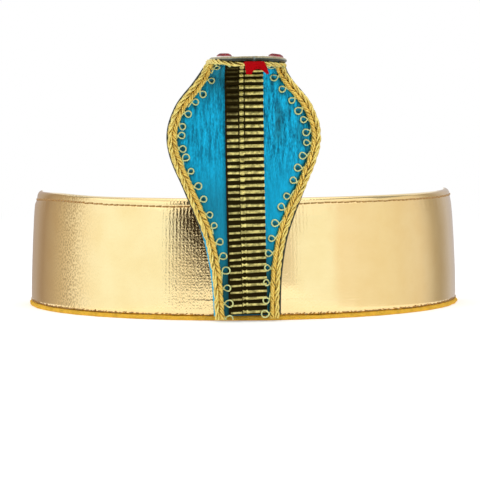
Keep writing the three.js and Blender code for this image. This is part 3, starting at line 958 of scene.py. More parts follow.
def blue_lame(cobra):
    """Crinkled foil on cloth: long creases and short flecks down the hood, in relief and in colour, with
    painted shade in darker blue and painted highlights in brighter blue along them.

    The mesh says where the foil is crinkled, where it is pressed in and painted with shade, where the edge
    is turned and painted darker, and where the plain back is.
    """
    f = Finish("blue_lame", Metallic=0.6, Specular_IOR_Level=0.2)
    crinkled = f.attribute("crinkled")
    long_creases = f.noise(f.stretched(f.uv, 1.0, 0.16), 1.0, 5.0)
    flecks = f.noise(f.stretched(f.uv, 1.0, 0.33), 0.42, 3.0)
    creases = f.ramp(f.sum(f.times(long_creases, 1.2), f.times(flecks, 0.7)), 0.76, 1.14)
    shine = f.sum(f.times(creases, crinkled), f.between(crinkled, 0.68, 0.0))
    # painted shade and highlights: darker blue low in the creases and flecks, brighter blue high on them
    tint = f.blend(shine, cobra.blue_dark, cobra.blue_bright)
    # painted shade: darkened towards the shade colour in the loops, beside the braid, at the neck, the
    # foot, the puckers and the lower left
    tint = f.blend(f.times(f.attribute("dent_and_shade"), 0.94), tint, cobra.blue_shade)
    # partly painted shade: the turned edge in dark teal
    tint = f.blend(f.attribute("edge"), tint, cobra.edge_teal)
    back = f.blend(f.ramp(flecks, 0.35, 0.65), dimmed(cobra.back_khaki, 0.7), cobra.back_khaki)
    tint = f.blend(f.attribute("back"), tint, back)
    relief = f.bump(f.times(long_creases, crinkled), 0.35 * MM)
    relief = f.bump(f.times(flecks, crinkled), 0.2 * MM, relief)
    return f.done(Base_Color=tint, Roughness=f.between(flecks, 0.3, 0.46), Normal=relief)


def ribbed_ribbon(trim):
    """Ribs of metal thread on a black ground: the mesh says where the gold is and how bright it is, which
    is painted light, and fine threads fray it.
    """
    f = Finish("ribbed_ribbon", Specular_IOR_Level=0.03)
    frayed = f.sum(f.noise(f.stretched(f.uv, 1.0, 0.5), 0.3, 2.0), -0.5)
    gold = f.ramp(f.sum(f.attribute("gold"), f.times(frayed, 0.7)), 0.25, 0.75)
    threads = f.wave(f.uv, 0.34, "Y", 0.9)
    patches = f.noise(f.uv, 1.6)
    bar = f.blend(f.ramp(patches, 0.38, 0.6), dimmed(trim.rib_gold, 0.4), trim.rib_gold)
    tint = f.blend(f.times(gold, f.attribute("bright")), trim.rib_black, bar)
    relief = f.bump(f.sum(threads, patches), 0.05 * MM)
    shine = f.between(gold, 0.65, 0.34)
    return f.done(Base_Color=tint, Metallic=f.between(gold, 0.0, 0.8), Roughness=shine, Normal=relief)


def gold_thread(name, pale, deep, metal):
    """Metal thread: fine filaments wound round each strand, with painted shade between them, and darker in
    random patches.
    """
    f = Finish(name, Metallic=metal)
    filaments = f.wave(f.slanted(62), 0.3, "X", 0.7)
    patches = f.noise(f.uv, 1.4)
    tone = f.sum(f.times(filaments, 0.45), patches)
    # painted shade between the filaments, mixed with random patches
    tint = f.blend(f.ramp(tone, 0.38, 0.88), deep, pale)
    relief = f.bump(filaments, 0.06 * MM)
    return f.done(Base_Color=tint, Roughness=f.between(patches, 0.2, 0.38), Normal=relief)


def sewing_thread(band):
    """Polyester thread: two plies twisted round each other."""
    f = Finish("sewing_thread", Roughness=0.55, Sheen_Weight=0.2)
    plies = f.wave(f.slanted(50), 0.4, "X")
    # painted shade: darker between the plies, which also make the relief
    tint = f.blend(plies, dimmed(band.thread_brown, 0.6), band.thread_brown)
    return f.done(Base_Color=tint, Normal=f.bump(plies, 0.08 * MM))


def red_stone(cobra):
    """Clear red acrylic over foil, deeper in patches and pale at its girdle, which is painted light showing
    through the acrylic, with a polished coat.
    """
    f = Finish("red_stone", Roughness=0.08, Coat_Weight=0.08, Coat_Roughness=0.03, Specular_IOR_Level=0.1)
    glints = f.noise(f.stretched(f.place, 1.0, 1.0, 2.0), 1.1 * MM, 2.0)
    tint = f.blend(f.ramp(glints, 0.35, 0.65), dimmed(cobra.stone_red, 0.35), cobra.stone_red)
    up_stone = f.add("SeparateXYZ", {"Vector": f.uv}).outputs["Y"]
    # painted light: the girdle and the base are pale, standing in for light showing through the acrylic
    tint = f.blend(f.ramp(up_stone, 1.5, 2.4), cobra.stone_lit_girdle, tint)
    return f.done(Base_Color=tint, Metallic=0.1)


def floor_paint(stage):
    """Pale matt floor with a faint mottle, which fades into white paper away from the headpiece."""
    f = Finish("floor_paint", Roughness=0.9, Specular_IOR_Level=0.1, Emission_Strength=0.3)
    f.done(Base_Color=f.blend(f.noise(f.place, 0.05), dimmed(stage.floor_white, 0.98), stage.floor_white))
    away = f.add("VectorMath", {0: f.place}, operation="LENGTH").outputs["Value"]
    paper = f.add("Emission", {"Strength": 1.0}).outputs["Emission"]
    mix = f.add("MixShader", {0: f.ramp(away, 0.25, 0.8), 1: f.shader.outputs["BSDF"], 2: paper})
    f.links.new(mix.outputs["Shader"], f.nodes["Material Output"].inputs["Surface"])
    return f.material


def card_glow():
    """Even light of a card, as bright as its mesh says."""
    black = (0.0, 0.0, 0.0, 1.0)
    f = Finish("card_glow", Base_Color=black, Roughness=1.0, Specular_IOR_Level=0.0, Emission_Strength=1.0)
    return f.done(Emission_Color=f.add("Attribute", attribute_name="glow").outputs["Color"])


# Operators

class HEADPIECE_OT_stage(bpy.types.Operator):
    """Make the camera, the surroundings, the floor, the softboxes and the cards that show as reflections"""

    bl_idname = "headpiece.stage"
    bl_label = "Stage"

    def execute(self, context):
        stage = context.scene.headpiece_stage
        self.make_camera(context, stage)
        self.make_surround(context, stage)
        self.make_floor(context, stage)
        for softbox in SOFTBOXES:
            self.make_softbox(context, *softbox)
        glow = card_glow()
        for card in CARDS:
            self.make_card(context, glow, *card)
        context.scene.view_settings.view_transform = "Standard"
        return {"FINISHED"}

    def make_camera(self, context, stage):
        """A camera that looks along +Y, turned down by its pitch and about its own axis by its roll."""
        data = bpy.data.cameras.new("camera")
        data.lens = stage.lens
        camera = link_object(context, "camera", data)
        look = Matrix.Rotation(0.5 * math.pi - stage.camera_pitch, 4, "X")
        roll = Matrix.Rotation(stage.camera_roll, 4, "Z")
        camera.matrix_world = Matrix.Translation(stage.camera_place) @ look @ roll
        context.scene.camera = camera

    def make_surround(self, context, stage):
        """White where the camera looks past the headpiece, grey where the headpiece mirrors the room."""
        world = bpy.data.worlds.new("surround")
        world.use_nodes = True
        nodes, links = world.node_tree.nodes, world.node_tree.links
        room = nodes["Background"]
        room.inputs["Color"].default_value = (stage.surround,) * 3 + (1.0,)
        paper = nodes.new("ShaderNodeBackground")
        paper.inputs["Color"].default_value = (1.0, 1.0, 1.0, 1.0)
        ray = nodes.new("ShaderNodeLightPath")
        mix = nodes.new("ShaderNodeMixShader")
        links.new(ray.outputs["Is Camera Ray"], mix.inputs[0])
        links.new(room.outputs[0], mix.inputs[1])
        links.new(paper.outputs[0], mix.inputs[2])
        links.new(mix.outputs[0], nodes["World Output"].inputs["Surface"])
        context.scene.world = world

    def make_floor(self, context, stage):
        """A square floor on the plane of the band's lower edge."""
        reach = 6.0
        corners = [(x * reach, y * reach, 0.0) for x, y in ((-1, -1), (1, -1), (1, 1), (-1, 1))]
        mesh = bpy.data.meshes.new("floor")
        mesh.from_pydata(corners, [], [(0, 1, 2, 3)])
        mesh.uv_layers.new(name="millimetres")
        mesh.materials.append(floor_paint(stage))
        link_object(context, "floor", mesh)

    def make_softbox(self, context, name, azimuth, elevation, distance, width, height, brightness):
        """A flat light of even brightness, which is its power over pi times its area."""
        data = bpy.data.lights.new(name, "AREA")
        data.shape = "RECTANGLE"
        data.size = width
        data.size_y = height
        data.energy = brightness * math.pi * width * height
        lamp = link_object(context, name, data)
        around, up = math.radians(azimuth), math.radians(elevation)
        away = Vector((math.sin(around) * math.cos(up), -math.cos(around) * math.cos(up), math.sin(up)))
        lamp.location = AIM + distance * away
        lamp.rotation_euler = away.to_track_quat("Z", "Y").to_euler()
        lamp.visible_camera = False

    def make_card(self, context, glow, name, top, stations):
        """An upright card that only shows as a reflection. Its brightness runs from station to station."""
        feet = [(x, y, bottom) for x, y, bottom, _ in stations]
        heads = [(x, y, top) for x, y, *_ in stations]
        last = len(stations)
        faces = [(k, k + 1, last + k + 1, last + k) for k in range(last - 1)]
        mesh = bpy.data.meshes.new(name)
        mesh.from_pydata(feet + heads, [], faces)
        mesh.uv_layers.new(name="millimetres")
        shades = np.array([[*shade, 1.0] for *_, shade in 2 * stations])
        mesh.attributes.new("glow", "FLOAT_COLOR", "POINT").data.foreach_set("color", shades.ravel())
        mesh.materials.append(glow)
        card = link_object(context, name, mesh)
        card.visible_camera = False
        card.visible_diffuse = False
        card.visible_shadow = False


class HEADPIECE_OT_gold_cover(bpy.types.Operator):
    """Make the padded gold cover of the band"""

    bl_idname = "headpiece.gold_cover"
    bl_label = "Gold cover"

    ROUND_STEPS = 600
    PLAIN = (9 * MM, 36 * MM)  # levels between the two hems, where the rows of points are wider apart
    LOWER_ROWS, PLAIN_ROWS, UPPER_ROWS, BACK_ROWS = 30, 28, 52, 7

    def execute(self, context):
        band = context.scene.headpiece_band
        turn = np.linspace(-band.end_turn, band.end_turn, self.ROUND_STEPS)
        arc = arc_at(band, turn)[:, None]
        low, high = cover_levels()[[0, -1], 0]
        lower, upper = self.PLAIN
        stretches = (
            np.linspace(low, lower, self.LOWER_ROWS),
            np.linspace(lower, upper, self.PLAIN_ROWS)[1:],
            np.linspace(upper, high, self.UPPER_ROWS)[1:],
        )
        rise = np.concatenate(stretches)[None, :]
        inside = band.lining_thick + band.gap
        back = np.linspace(high, low, self.BACK_ROWS)[1:-1][None, :]
        out = np.hstack([inside + cover_thick(band, arc, rise), inside + 0.0 * (arc + back)])
        level = np.hstack([rise, back]) + 0.0 * arc
        rises = level + hem_lift(band, arc, level, high)
        taut = np.where(arc < 0.0, 1.0, 0.25 + 0.75 * smoothstep(rises, 26 * MM, 36 * MM))
        values = {
            "pulled": (1.0 - smoothstep(np.abs(arc), 25 * MM, 34 * MM)) * taut,
            # painted reflection: the zone near the left end where dark specks stand in for glints
            "painted_glint_zone": bell(arc, -75 * MM, 9 * MM) + 0.0 * rises,
        }
        mesh = band_wall("gold_cover", band, turn, out, rises, values)
        piece = add_piece(context, "gold_cover", mesh, gold_lame(band), "gold_lame", "band_cover")
        return {"FINISHED"}


class HEADPIECE_OT_felt_lining(bpy.types.Operator):
    """Make the felt lining with its rolled lower edge"""

    bl_idname = "headpiece.felt_lining"
    bl_label = "Felt lining"

    ROUND_STEPS = 420
    UNDER_STEPS, NOSE_STEPS, OUTSIDE_STEPS, INSIDE_STEPS = 6, 13, 16, 24

    def execute(self, context):
        band = context.scene.headpiece_band
        turn = np.linspace(-band.end_turn, band.end_turn, self.ROUND_STEPS)
        section, lip = self.section(band)
        depth, level = section.T[:, None, :]
        arc = arc_at(band, turn)[:, None]
        out = depth + 0.10 * MM * waves(arc, 3.0 * level, 9 * MM, 11) * (0.5 + lip)
        sag = 1.0 + 0.05 * waves(arc, 0.0, 14 * MM, 12)
        rise = level * np.where(lip > 0.0, sag, 1.0)
        mesh = band_wall("felt_lining", band, turn, out, rise)
        finish = felt("yellow_felt", band.felt_yellow)
        piece = add_piece(context, "felt_lining", mesh, finish, "yellow_felt", "band_lining")
        return {"FINISHED"}

    def section(self, band):
        """Closed section (out, rise), a straight wall whose foot is rolled out into a round lip, and 1 for
        each of its points on the front of the lip."""
        roll = 0.5 * band.lip_height
        top = band.height - band.lining_short
        turn = np.linspace(-0.5 * np.pi, 0.5 * np.pi, self.NOSE_STEPS)
        nose = joined(band.lip_reach - roll + roll * np.cos(turn), roll + roll * np.sin(turn))
        under = joined(np.linspace(0.0, band.lip_reach - roll, self.UNDER_STEPS)[:-1], 0.0)
        outside = joined(band.lining_thick, np.linspace(band.lip_height, top, self.OUTSIDE_STEPS))
        inside = joined(0.0, np.linspace(top, 1 * MM, self.INSIDE_STEPS))
        parts = (under, nose, outside, inside)
        lip = np.concatenate([np.full(len(part), float(part is nose)) for part in parts])
        return np.concatenate(parts), lip


class HEADPIECE_OT_elastic_strap(bpy.types.Operator):
    """Make the elastic that closes the ring behind"""

    bl_idname = "headpiece.elastic_strap"
    bl_label = "Elastic strap"

    ROUND_STEPS = 360
    RIBS = 13
    RIB_STEPS = 7
    RIB_HEIGHT = 0.16 * MM
    RIPPLE = math.radians(1.4)  # turn from one ripple of the stretched elastic to the next

    def execute(self, context):
        band = context.scene.headpiece_band
        start = band.end_turn - band.elastic_lap
        turn = np.linspace(start, 2.0 * math.pi - start, self.ROUND_STEPS)[:, None]
        low = 0.5 * (band.height - band.elastic_width)
        across = np.linspace(0.0, 1.0, self.RIB_STEPS * self.RIBS)[None, :]
        ribs = self.RIB_HEIGHT * np.abs(np.sin(np.pi * self.RIBS * across))
        edge = 0.35 * MM * (bell(across, 0.0, 0.02) + bell(across, 1.0, 0.02))
        lap = (start + band.elastic_lap, start + 1.6 * band.elastic_lap)
        free = smoothstep(turn, *lap) * smoothstep(2.0 * math.pi - turn, *lap)
        stretch = 0.06 * MM * np.cos(2.0 * np.pi * turn / self.RIPPLE) * free
        front = -band.gap - self.RIB_HEIGHT + ribs - edge + stretch
        rear = -band.gap - band.elastic_thick + self.RIB_HEIGHT - ribs + edge + stretch
        out = np.hstack([front, rear[:, ::-1]])
        height = low + band.elastic_width * np.hstack([across, across[:, ::-1]])
        rise = height + 0.25 * MM * waves(turn, 0.0, 0.35, 21) * free
        mesh = band_wall("elastic_strap", band, turn[:, 0], out, rise)
        piece = add_piece(context, "elastic_strap", mesh, elastic_knit(band), "elastic", "back_elastic")
        return {"FINISHED"}


class HEADPIECE_OT_blue_hood(bpy.types.Operator):
    """Make the cobra's padded blue hood and head"""

    bl_idname = "headpiece.blue_hood"
    bl_label = "Blue hood"

    ALONG_STEPS = 260
    ACROSS_STEPS = 120
    RIM_STEPS = 11
    LOOP_MIDDLE = 1.75 * MM  # from the braid to the middle of a thread loop
    DENT_AND_SHADOW_SHIFT = np.array([-0.2, -0.4]) * MM  # of a dent and its painted shadow from the middle of its loop, across and along: down and to the left

    def execute(self, context):
        cobra, trim = context.scene.headpiece_cobra, context.scene.headpiece_trim
        along, half = (values[2:-2, None] for values in outline_curve(self.ALONG_STEPS))
        right = rounded_section(np.linspace(-1.0, 1.0, self.ACROSS_STEPS), self.RIM_STEPS)
        left_rim = -right[:, self.ACROSS_STEPS:-self.ACROSS_STEPS]
        side, rim, face = np.hstack([right, left_rim])[:, None, :]
        rim_radius = np.minimum(0.5 * cobra.wall_edge, 0.5 * half)
        sewn = side * (half - rim_radius) + rim * rim_radius
        across = sewn + cobra.corner_pull * left_corner(sewn, along)
        front = hood_front(cobra, trim, across, along)
        back = wall_half(cobra, np.clip(across / np.maximum(half, 1 * MM), -1, 1), along)
        crisp = 0.55 + 0.25 * smoothstep(across, -3 * MM, 3 * MM)
        crinkled = 0.25 + crisp * smoothstep(along, 44 * MM, 66 * MM)
        creases = 0.06 * MM * waves(across, 0.12 * along, 2.4 * MM, 31) * crinkled
        right_side = smoothstep(across, 6 * MM, 10 * MM) * bell(along, 70 * MM, 13 * MM)
        pucker = waves(across, 0.3 * along, 5.0 * MM, 33) * right_side
        creased = (creases + 0.12 * MM * pucker) * (np.abs(face) > 0.99)
        # painted shade, whichever is most: in the loops and beside the braid, and where the foil is shaded;
        # the foil is also pressed in there
        dents_and_painted_shade = np.maximum(self.loop_dents_and_shade(trim, across, along, half), self.shaded(across, along, pucker))
        dent_and_shade = dents_and_painted_shade * (face > 0.99)
        raised = np.where(face > 0, front, back) * face + creased - 0.3 * MM * dent_and_shade
        points = cobra_points(cobra, across, along, raised)
        next_half = np.interp(along + 1 * MM, *outline_curve(HALF_STEPS), right=0.0)
        margin = smoothstep(np.abs(across), next_half - 2.2 * MM, next_half - 1.6 * MM)
        snout = smoothstep(along, 110 * MM, 113 * MM)
        turned = np.maximum(margin, snout) * (face > -0.1)
        values = {
            # partly painted shade: dark turned edge, on the right all the way down and on the left only
            # above the foot
            "edge": turned * smoothstep(along, 27 * MM, 35 * MM) * (across < 0) + turned * (across > 0),
            "back": smoothstep(-face, -0.05, 0.3) + 0.0 * along,
            # pressed in, with painted shade in the same places
            "dent_and_shade": dent_and_shade,
            "crinkled": crinkled,
        }
        mesh = closed_surface("blue_hood", points[None], flat_uv(across, along)[None], values)
        piece = add_piece(context, "blue_hood", mesh, blue_lame(cobra), "blue_lame", "hood_panel")
        return {"FINISHED"}

    def shaded(self, across, along, pucker):
        """How much shade is painted on the foil, 0 to 1: at the left of the neck, in the hollows of the
        puckers, at the narrow foot and down the lower left side, whichever is most. The foil is also
        pressed in there."""
        neck = 0.66 * smoothstep(along, 76 * MM, 90 * MM) * smoothstep(-across, 5 * MM, 8 * MM)
        hollow = 0.5 * smoothstep(-pucker, 0.0, 1.3)
        foot = 0.85 * (1.0 - smoothstep(along, 12 * MM, 36 * MM))
        left_low = 0.4 * (1.0 - smoothstep(along, 40 * MM, 56 * MM)) * (across < 0)
        return np.maximum.reduce(np.broadcast_arrays(neck, hollow, foot, left_low))

    def loop_dents_and_shade(self, trim, across, along, half):
        """How far the foil is pressed in and painted with shade, 0 to 1: a bell curve in each thread loop
        and beside the braid.
        """
        points, _, inward = loop_places(trim)
        middle = points + self.LOOP_MIDDLE * inward + self.DENT_AND_SHADOW_SHIFT
        beside = bell(half - np.abs(across), braid_inset(trim), 0.9 * MM)
        across, along = np.broadcast_arrays(across, along)
        away = np.hypot(across[..., None] - middle[:, 0], along[..., None] - middle[:, 1])
        return np.maximum(bell(away, 0.0, 1.1 * MM).max(axis=-1), 0.7 * beside)


class HEADPIECE_OT_ribbed_belly(bpy.types.Operator):
    """Make the ribbed ribbon down the middle of the hood"""

    bl_idname = "headpiece.ribbed_belly"
    bl_label = "Ribbed belly"

    RIB_STEPS = 14
    ACROSS_STEPS = 93
    BACK_STEPS = 7

    def execute(self, context):
        cobra, trim = context.scene.headpiece_cobra, context.scene.headpiece_trim
        ribs = int((trim.strip_end - trim.strip_start) / trim.rib_pitch)
        number = np.linspace(0.0, ribs, self.RIB_STEPS * ribs + 1)[:, None]
        along = trim.strip_start + trim.rib_pitch * number
        share = np.linspace(-1.0, 1.0, self.ACROSS_STEPS)[None, :]
        back_share = np.linspace(1.0, -1.0, self.BACK_STEPS)[None, :]
        height, gold, bright = self.ribs(trim, trim.strip_half * share, along)
        floor = wall_half(cobra, 0.0, along) + 0.1 * MM
        rounded = 1.0 - 0.35 * smoothstep(np.abs(share), 0.78, 1.0)
        front = floor + trim.strip_base + trim.rib_raise * height * rounded
        plain = 0.0 * (along + back_share)
        across = trim.strip_half * np.hstack([share, back_share])
        points = cobra_points(cobra, across, along, np.hstack([front, floor + plain]))
        values = {"gold": np.hstack([gold, plain]), "bright": np.hstack([bright, plain])}
        mesh = closed_surface("ribbed_belly", points[None], flat_uv(across, along)[None], values)
        finish = ribbed_ribbon(trim)
        piece = add_piece(context, "ribbed_belly", mesh, finish, "ribbed_ribbon", "belly_strip")
        return {"FINISHED"}

    def ribs(self, trim, across, along):
        """Height, gold and brightness of the ribs, each 0 to 1: a raised cosine, one wave for each rib.

        The part of the wave above a threshold is gold. A row of stitches and a thin gap split each rib into
        a left bar, a small knot and a right bar. The knots are round near the head, sag halfway up and are
        pinched in the middle near the foot. The left bar is thin near the foot. The brightness is painted
        light: painted highlights on the knots, bars a little darker towards the foot, and the left bar
        painted dark near the head, where it stands in for the dark surroundings that the ribbon mirrors.
        """
        rng = np.random.default_rng(41)
        rib = np.floor((along - trim.strip_start) / trim.rib_pitch).astype(int)[:, 0]
        crooked = rng.uniform(-0.05, 0.05, (rib.max() + 1, 2))[rib]
        low = 1.0 - smoothstep(along, 20 * MM, 50 * MM)
        skew = crooked[:, :1] + (crooked[:, 1:] - 0.10 * low) * across / trim.strip_half
        left = 1.0 - smoothstep(across, trim.seam_across - 0.2 * MM, trim.seam_across + 0.2 * MM)
        right = smoothstep(across, trim.gap_across - 0.15 * MM, trim.gap_across + 0.15 * MM)
        knot = 1.0 - left - right
        reached = np.clip((across - trim.seam_across) / (trim.gap_across - trim.seam_across), 0.0, 1.0)
        left_wide = np.interp(along / MM, (5, 35, 50, 65, 80), (0.27, 0.30, 0.38, 0.46, 0.37))
        high = smoothstep(along, 58 * MM, 70 * MM)
        bulge = np.sqrt(np.maximum(1.0 - (2.0 * reached - 1.0) ** 2, 0.0))
        round_wide = (0.44 - 0.16 * high) + (0.2 + 0.2 * high) * bulge * (1.0 - low)
        knot_wide = round_wide + 0.16 * low * np.cos(2.0 * np.pi * reached)
        right_wide = np.interp(along / MM, (5, 30, 60), (0.36, 0.43, 0.48))
        wide = left * left_wide + knot * knot_wide + right * right_wide
        sag = 0.06 * left + knot * (0.10 * bulge * (1.0 - high) * (1.0 - low) - 0.05 * low)
        phase = (along - trim.strip_start) / trim.rib_pitch + skew + sag
        crest = 0.5 + 0.5 * np.cos(2.0 * np.pi * (phase - 0.43))
        threshold = 0.5 + 0.5 * np.cos(np.pi * wide)
        seam = bell(across, trim.seam_across, (0.2 + 0.12 * high) * MM) * (0.75 + 0.25 * high)
        gap = bell(across, trim.gap_across, (0.22 + 0.08 * high) * MM) * (0.35 + 0.65 * high)
        # painted shadow: the gold stops short of the left edge only, leaving a thin black line there
        edge = smoothstep(trim.strip_half + across, 0.3 * MM, 0.75 * MM)
        gold = smoothstep(crest, threshold - 0.2, threshold + 0.2) * (1.0 - np.maximum(seam, gap)) * edge
        # painted light: left bars dark near the head, standing in for dark surroundings mirrored; knots
        # brightest as painted highlights
        dim = left * smoothstep(along, 67 * MM, 77 * MM)
        bar = 0.95 - 0.2 * (1.0 - smoothstep(along, 30 * MM, 60 * MM))
        bright = (bar + (1.0 - bar) * knot) * (1.0 - 0.9 * dim)
        return crest**0.8 * (1.0 - 0.5 * seam - 0.3 * gap), gold, bright


class HEADPIECE_OT_braid_cords(bpy.types.Operator):
    """Make the two twisted cords of the edge braid"""

    bl_idname = "headpiece.braid_cords"
    bl_label = "Braid cords"

    def execute(self, context):
        cobra, trim = context.scene.headpiece_cobra, context.scene.headpiece_trim
        cords = (
            ("outer_cord", -trim.cord_offset, trim.outer_strands, trim.outer_lay, trim.thread_pale),
            ("inner_cord", trim.cord_offset, trim.inner_strands, -trim.inner_lay, trim.thread_ochre),
        )
        for name, offset, strands, lay, pale in cords:
            finish = gold_thread(f"{name}_thread", pale, trim.thread_deep, 0.92)
            flat, girth, length = twisted_cord(cobra, trim, offset, strands, lay)
            mesh = closed_surface(name, bend_to_cobra(cobra, flat), tube_uv(flat.shape, girth, length))
            add_piece(context, name, mesh, finish, "gold_thread", "edge_braid")
        return {"FINISHED"}


class HEADPIECE_OT_thread_loops(bpy.types.Operator):
    """Make the small thread loops along the inside of the braid"""

    bl_idname = "headpiece.thread_loops"
    bl_label = "Thread loops"

    LOOP_STEPS = 34

    def execute(self, context):
        cobra, trim = context.scene.headpiece_cobra, context.scene.headpiece_trim
        points, tangent, normal = loop_places(trim)
        count = len(points)
        rng = np.random.default_rng(51)
        scale = rng.uniform(0.8, 1.04, count)[:, None]
        lean = rng.normal(0.0, math.radians(13), count)[:, None]
        shape = catmull_rom(LOOP_SHAPE, self.LOOP_STEPS) * MM
        up = scale * (shape[:, 0] * np.cos(lean) - shape[:, 1] * np.sin(lean))
        inward = scale * (shape[:, 0] * np.sin(lean) + shape[:, 1] * np.cos(lean))
        flat = points[:, None] + up[..., None] * tangent[:, None] + inward[..., None] * normal[:, None]
        ground = hood_front(cobra, trim, flat[..., 0], flat[..., 1])
        over = trim.strip_base + trim.rib_raise + 0.1 * MM
        on_ribbon = 1.0 - smoothstep(np.abs(flat[..., 0]), trim.strip_half, trim.strip_half + 1.2 * MM)
        raised = ground + trim.loop_wire + shape[:, 2] + over * on_ribbon
        centre = np.concatenate([flat, raised[..., None]], axis=-1)
        tubes = flat_tubes(centre, trim.loop_wire)
        length = running_length(shape)[-1]
        uv = tube_uv(tubes.shape, 2.0 * np.pi * trim.loop_wire, length)
        mesh = closed_surface("thread_loops", bend_to_cobra(cobra, tubes), uv)
        finish = gold_thread("loop_thread", trim.loop_pale, trim.loop_deep, 0.4)
        add_piece(context, "thread_loops", mesh, finish, "gold_thread")
        return {"FINISHED"}


class HEADPIECE_OT_felt_tongue(bpy.types.Operator):
    """Make the forked felt tongue"""

    bl_idname = "headpiece.felt_tongue"
    bl_label = "Felt tongue"

    ACROSS_STEPS, ALONG_STEPS, TIP_STEPS = 49, 30, 7

    def execute(self, context):
        cobra = context.scene.headpiece_cobra
        across = cobra.tongue_half * np.linspace(-1.0, 1.0, self.ACROSS_STEPS)[:, None]
        share = np.minimum(np.abs(across - cobra.fork_centre) / cobra.fork_half, 1.0)
        length = cobra.tongue_length - cobra.fork_depth * (1.0 - share**2) ** 0.8
        section = rounded_section(np.linspace(0.0, 1.0, self.ALONG_STEPS), self.TIP_STEPS)
        reach, tip, face = section[:, None, :]
        half = 0.5 * cobra.tongue_thick
        round_edge = np.sqrt(np.maximum(1.0 - (np.abs(across) / cobra.tongue_half) ** 14, 0.04))
        along = reach * (length - 0.8 * half) + tip * 0.8 * half
        raised = face * half * round_edge
        points = self.hang(cobra, across, along, raised)
        girth = running_length(joined(along[0], raised[0]))
        uv = joined(across, np.append(girth, girth[-1] + cobra.tongue_thick)) / MM
        mesh = closed_surface("felt_tongue", points[None], uv[None])
        finish = felt("red_felt", cobra.tongue_red, 0.7, 0.0)
        piece = add_piece(context, "felt_tongue", mesh, finish, "red_felt", "tongue")
        return {"FINISHED"}

    def hang(self, cobra, across, along, raised):
        """Points of the tongue, which starts level under the snout and bends down in front of it."""
        root_along = OUTLINE[-1][0] * MM - cobra.tongue_root
        root_raised = float(wall_half(cobra, 0.0, root_along)) + 0.3 * MM + 0.5 * cobra.tongue_thick
        root_forward, root_height, _ = cobra_walk(cobra, root_along)
        droop = cobra.head_pitch + cobra.tongue_droop
        lengths = [cobra.tongue_root, cobra.tongue_bend * cobra.tongue_droop, DROOP_REACH]
        forward, height, direction = side_walk(lengths, [cobra.head_pitch] * 2 + [droop] * 2, along)
        reached = along / cobra.tongue_length
        narrowed = cobra.tongue_root_half / cobra.tongue_half
        spread = narrowed + (1.0 - narrowed) * reached
        x = cobra.tongue_side + across * spread + cobra.tongue_drift * reached
        y = -root_forward - forward - raised * np.cos(direction)
        z = cobra.foot + root_height - root_raised + height - raised * np.sin(direction)
        return stand_cobra(cobra, joined(x, y, z))


class HEADPIECE_OT_eye_stones(bpy.types.Operator):
    """Make the two faceted stones on top of the head"""

    bl_idname = "headpiece.eye_stones"
    bl_label = "Eye stones"

    FACETS = 12
    UV_SIZE = (19 * MM, 6 * MM)  # girth and length that the UV map of a stone holds

    def execute(self, context):
        cobra = context.scene.headpiece_cobra
        finish = red_stone(cobra)
        for name, node, side in (("stone_left", "eye_left", -1), ("stone_right", "eye_right", 1)):
            points = self.stone(cobra, side)
            uv = tube_uv((1, *points.shape[:2]), *self.UV_SIZE)
            mesh = closed_surface(name, points[None], uv, split=True)
            add_piece(context, name, mesh, finish, "red_stone", node)
        return {"FINISHED"}

    def stone(self, cobra, side):
        """A cut stone: rings of corners, the upper ones turned by half a facet from the ring below."""
        radius, height, half_facets = np.array(STONE_RINGS).T[:, :, None]
        turn = 2.0 * np.pi * (np.arange(self.FACETS) + 0.5 * half_facets) / self.FACETS
        local = joined(radius * MM * np.cos(turn), radius * MM * np.sin(turn), height * MM)
        slope = cobra.eye_tilt if side > 0 else 0.0
        turned = Matrix.Rotation(cobra.turn, 3, "Z") @ Matrix.Rotation(slope, 3, "Y")
        seat = float(wall_half(cobra, cobra.eye_across / cobra.crown_half, cobra.eye_along)) + 0.15 * MM
        across = side * cobra.eye_across + cobra.eye_shift
        return local @ np.array(turned).T + cobra_points(cobra, across, cobra.eye_along, -seat)


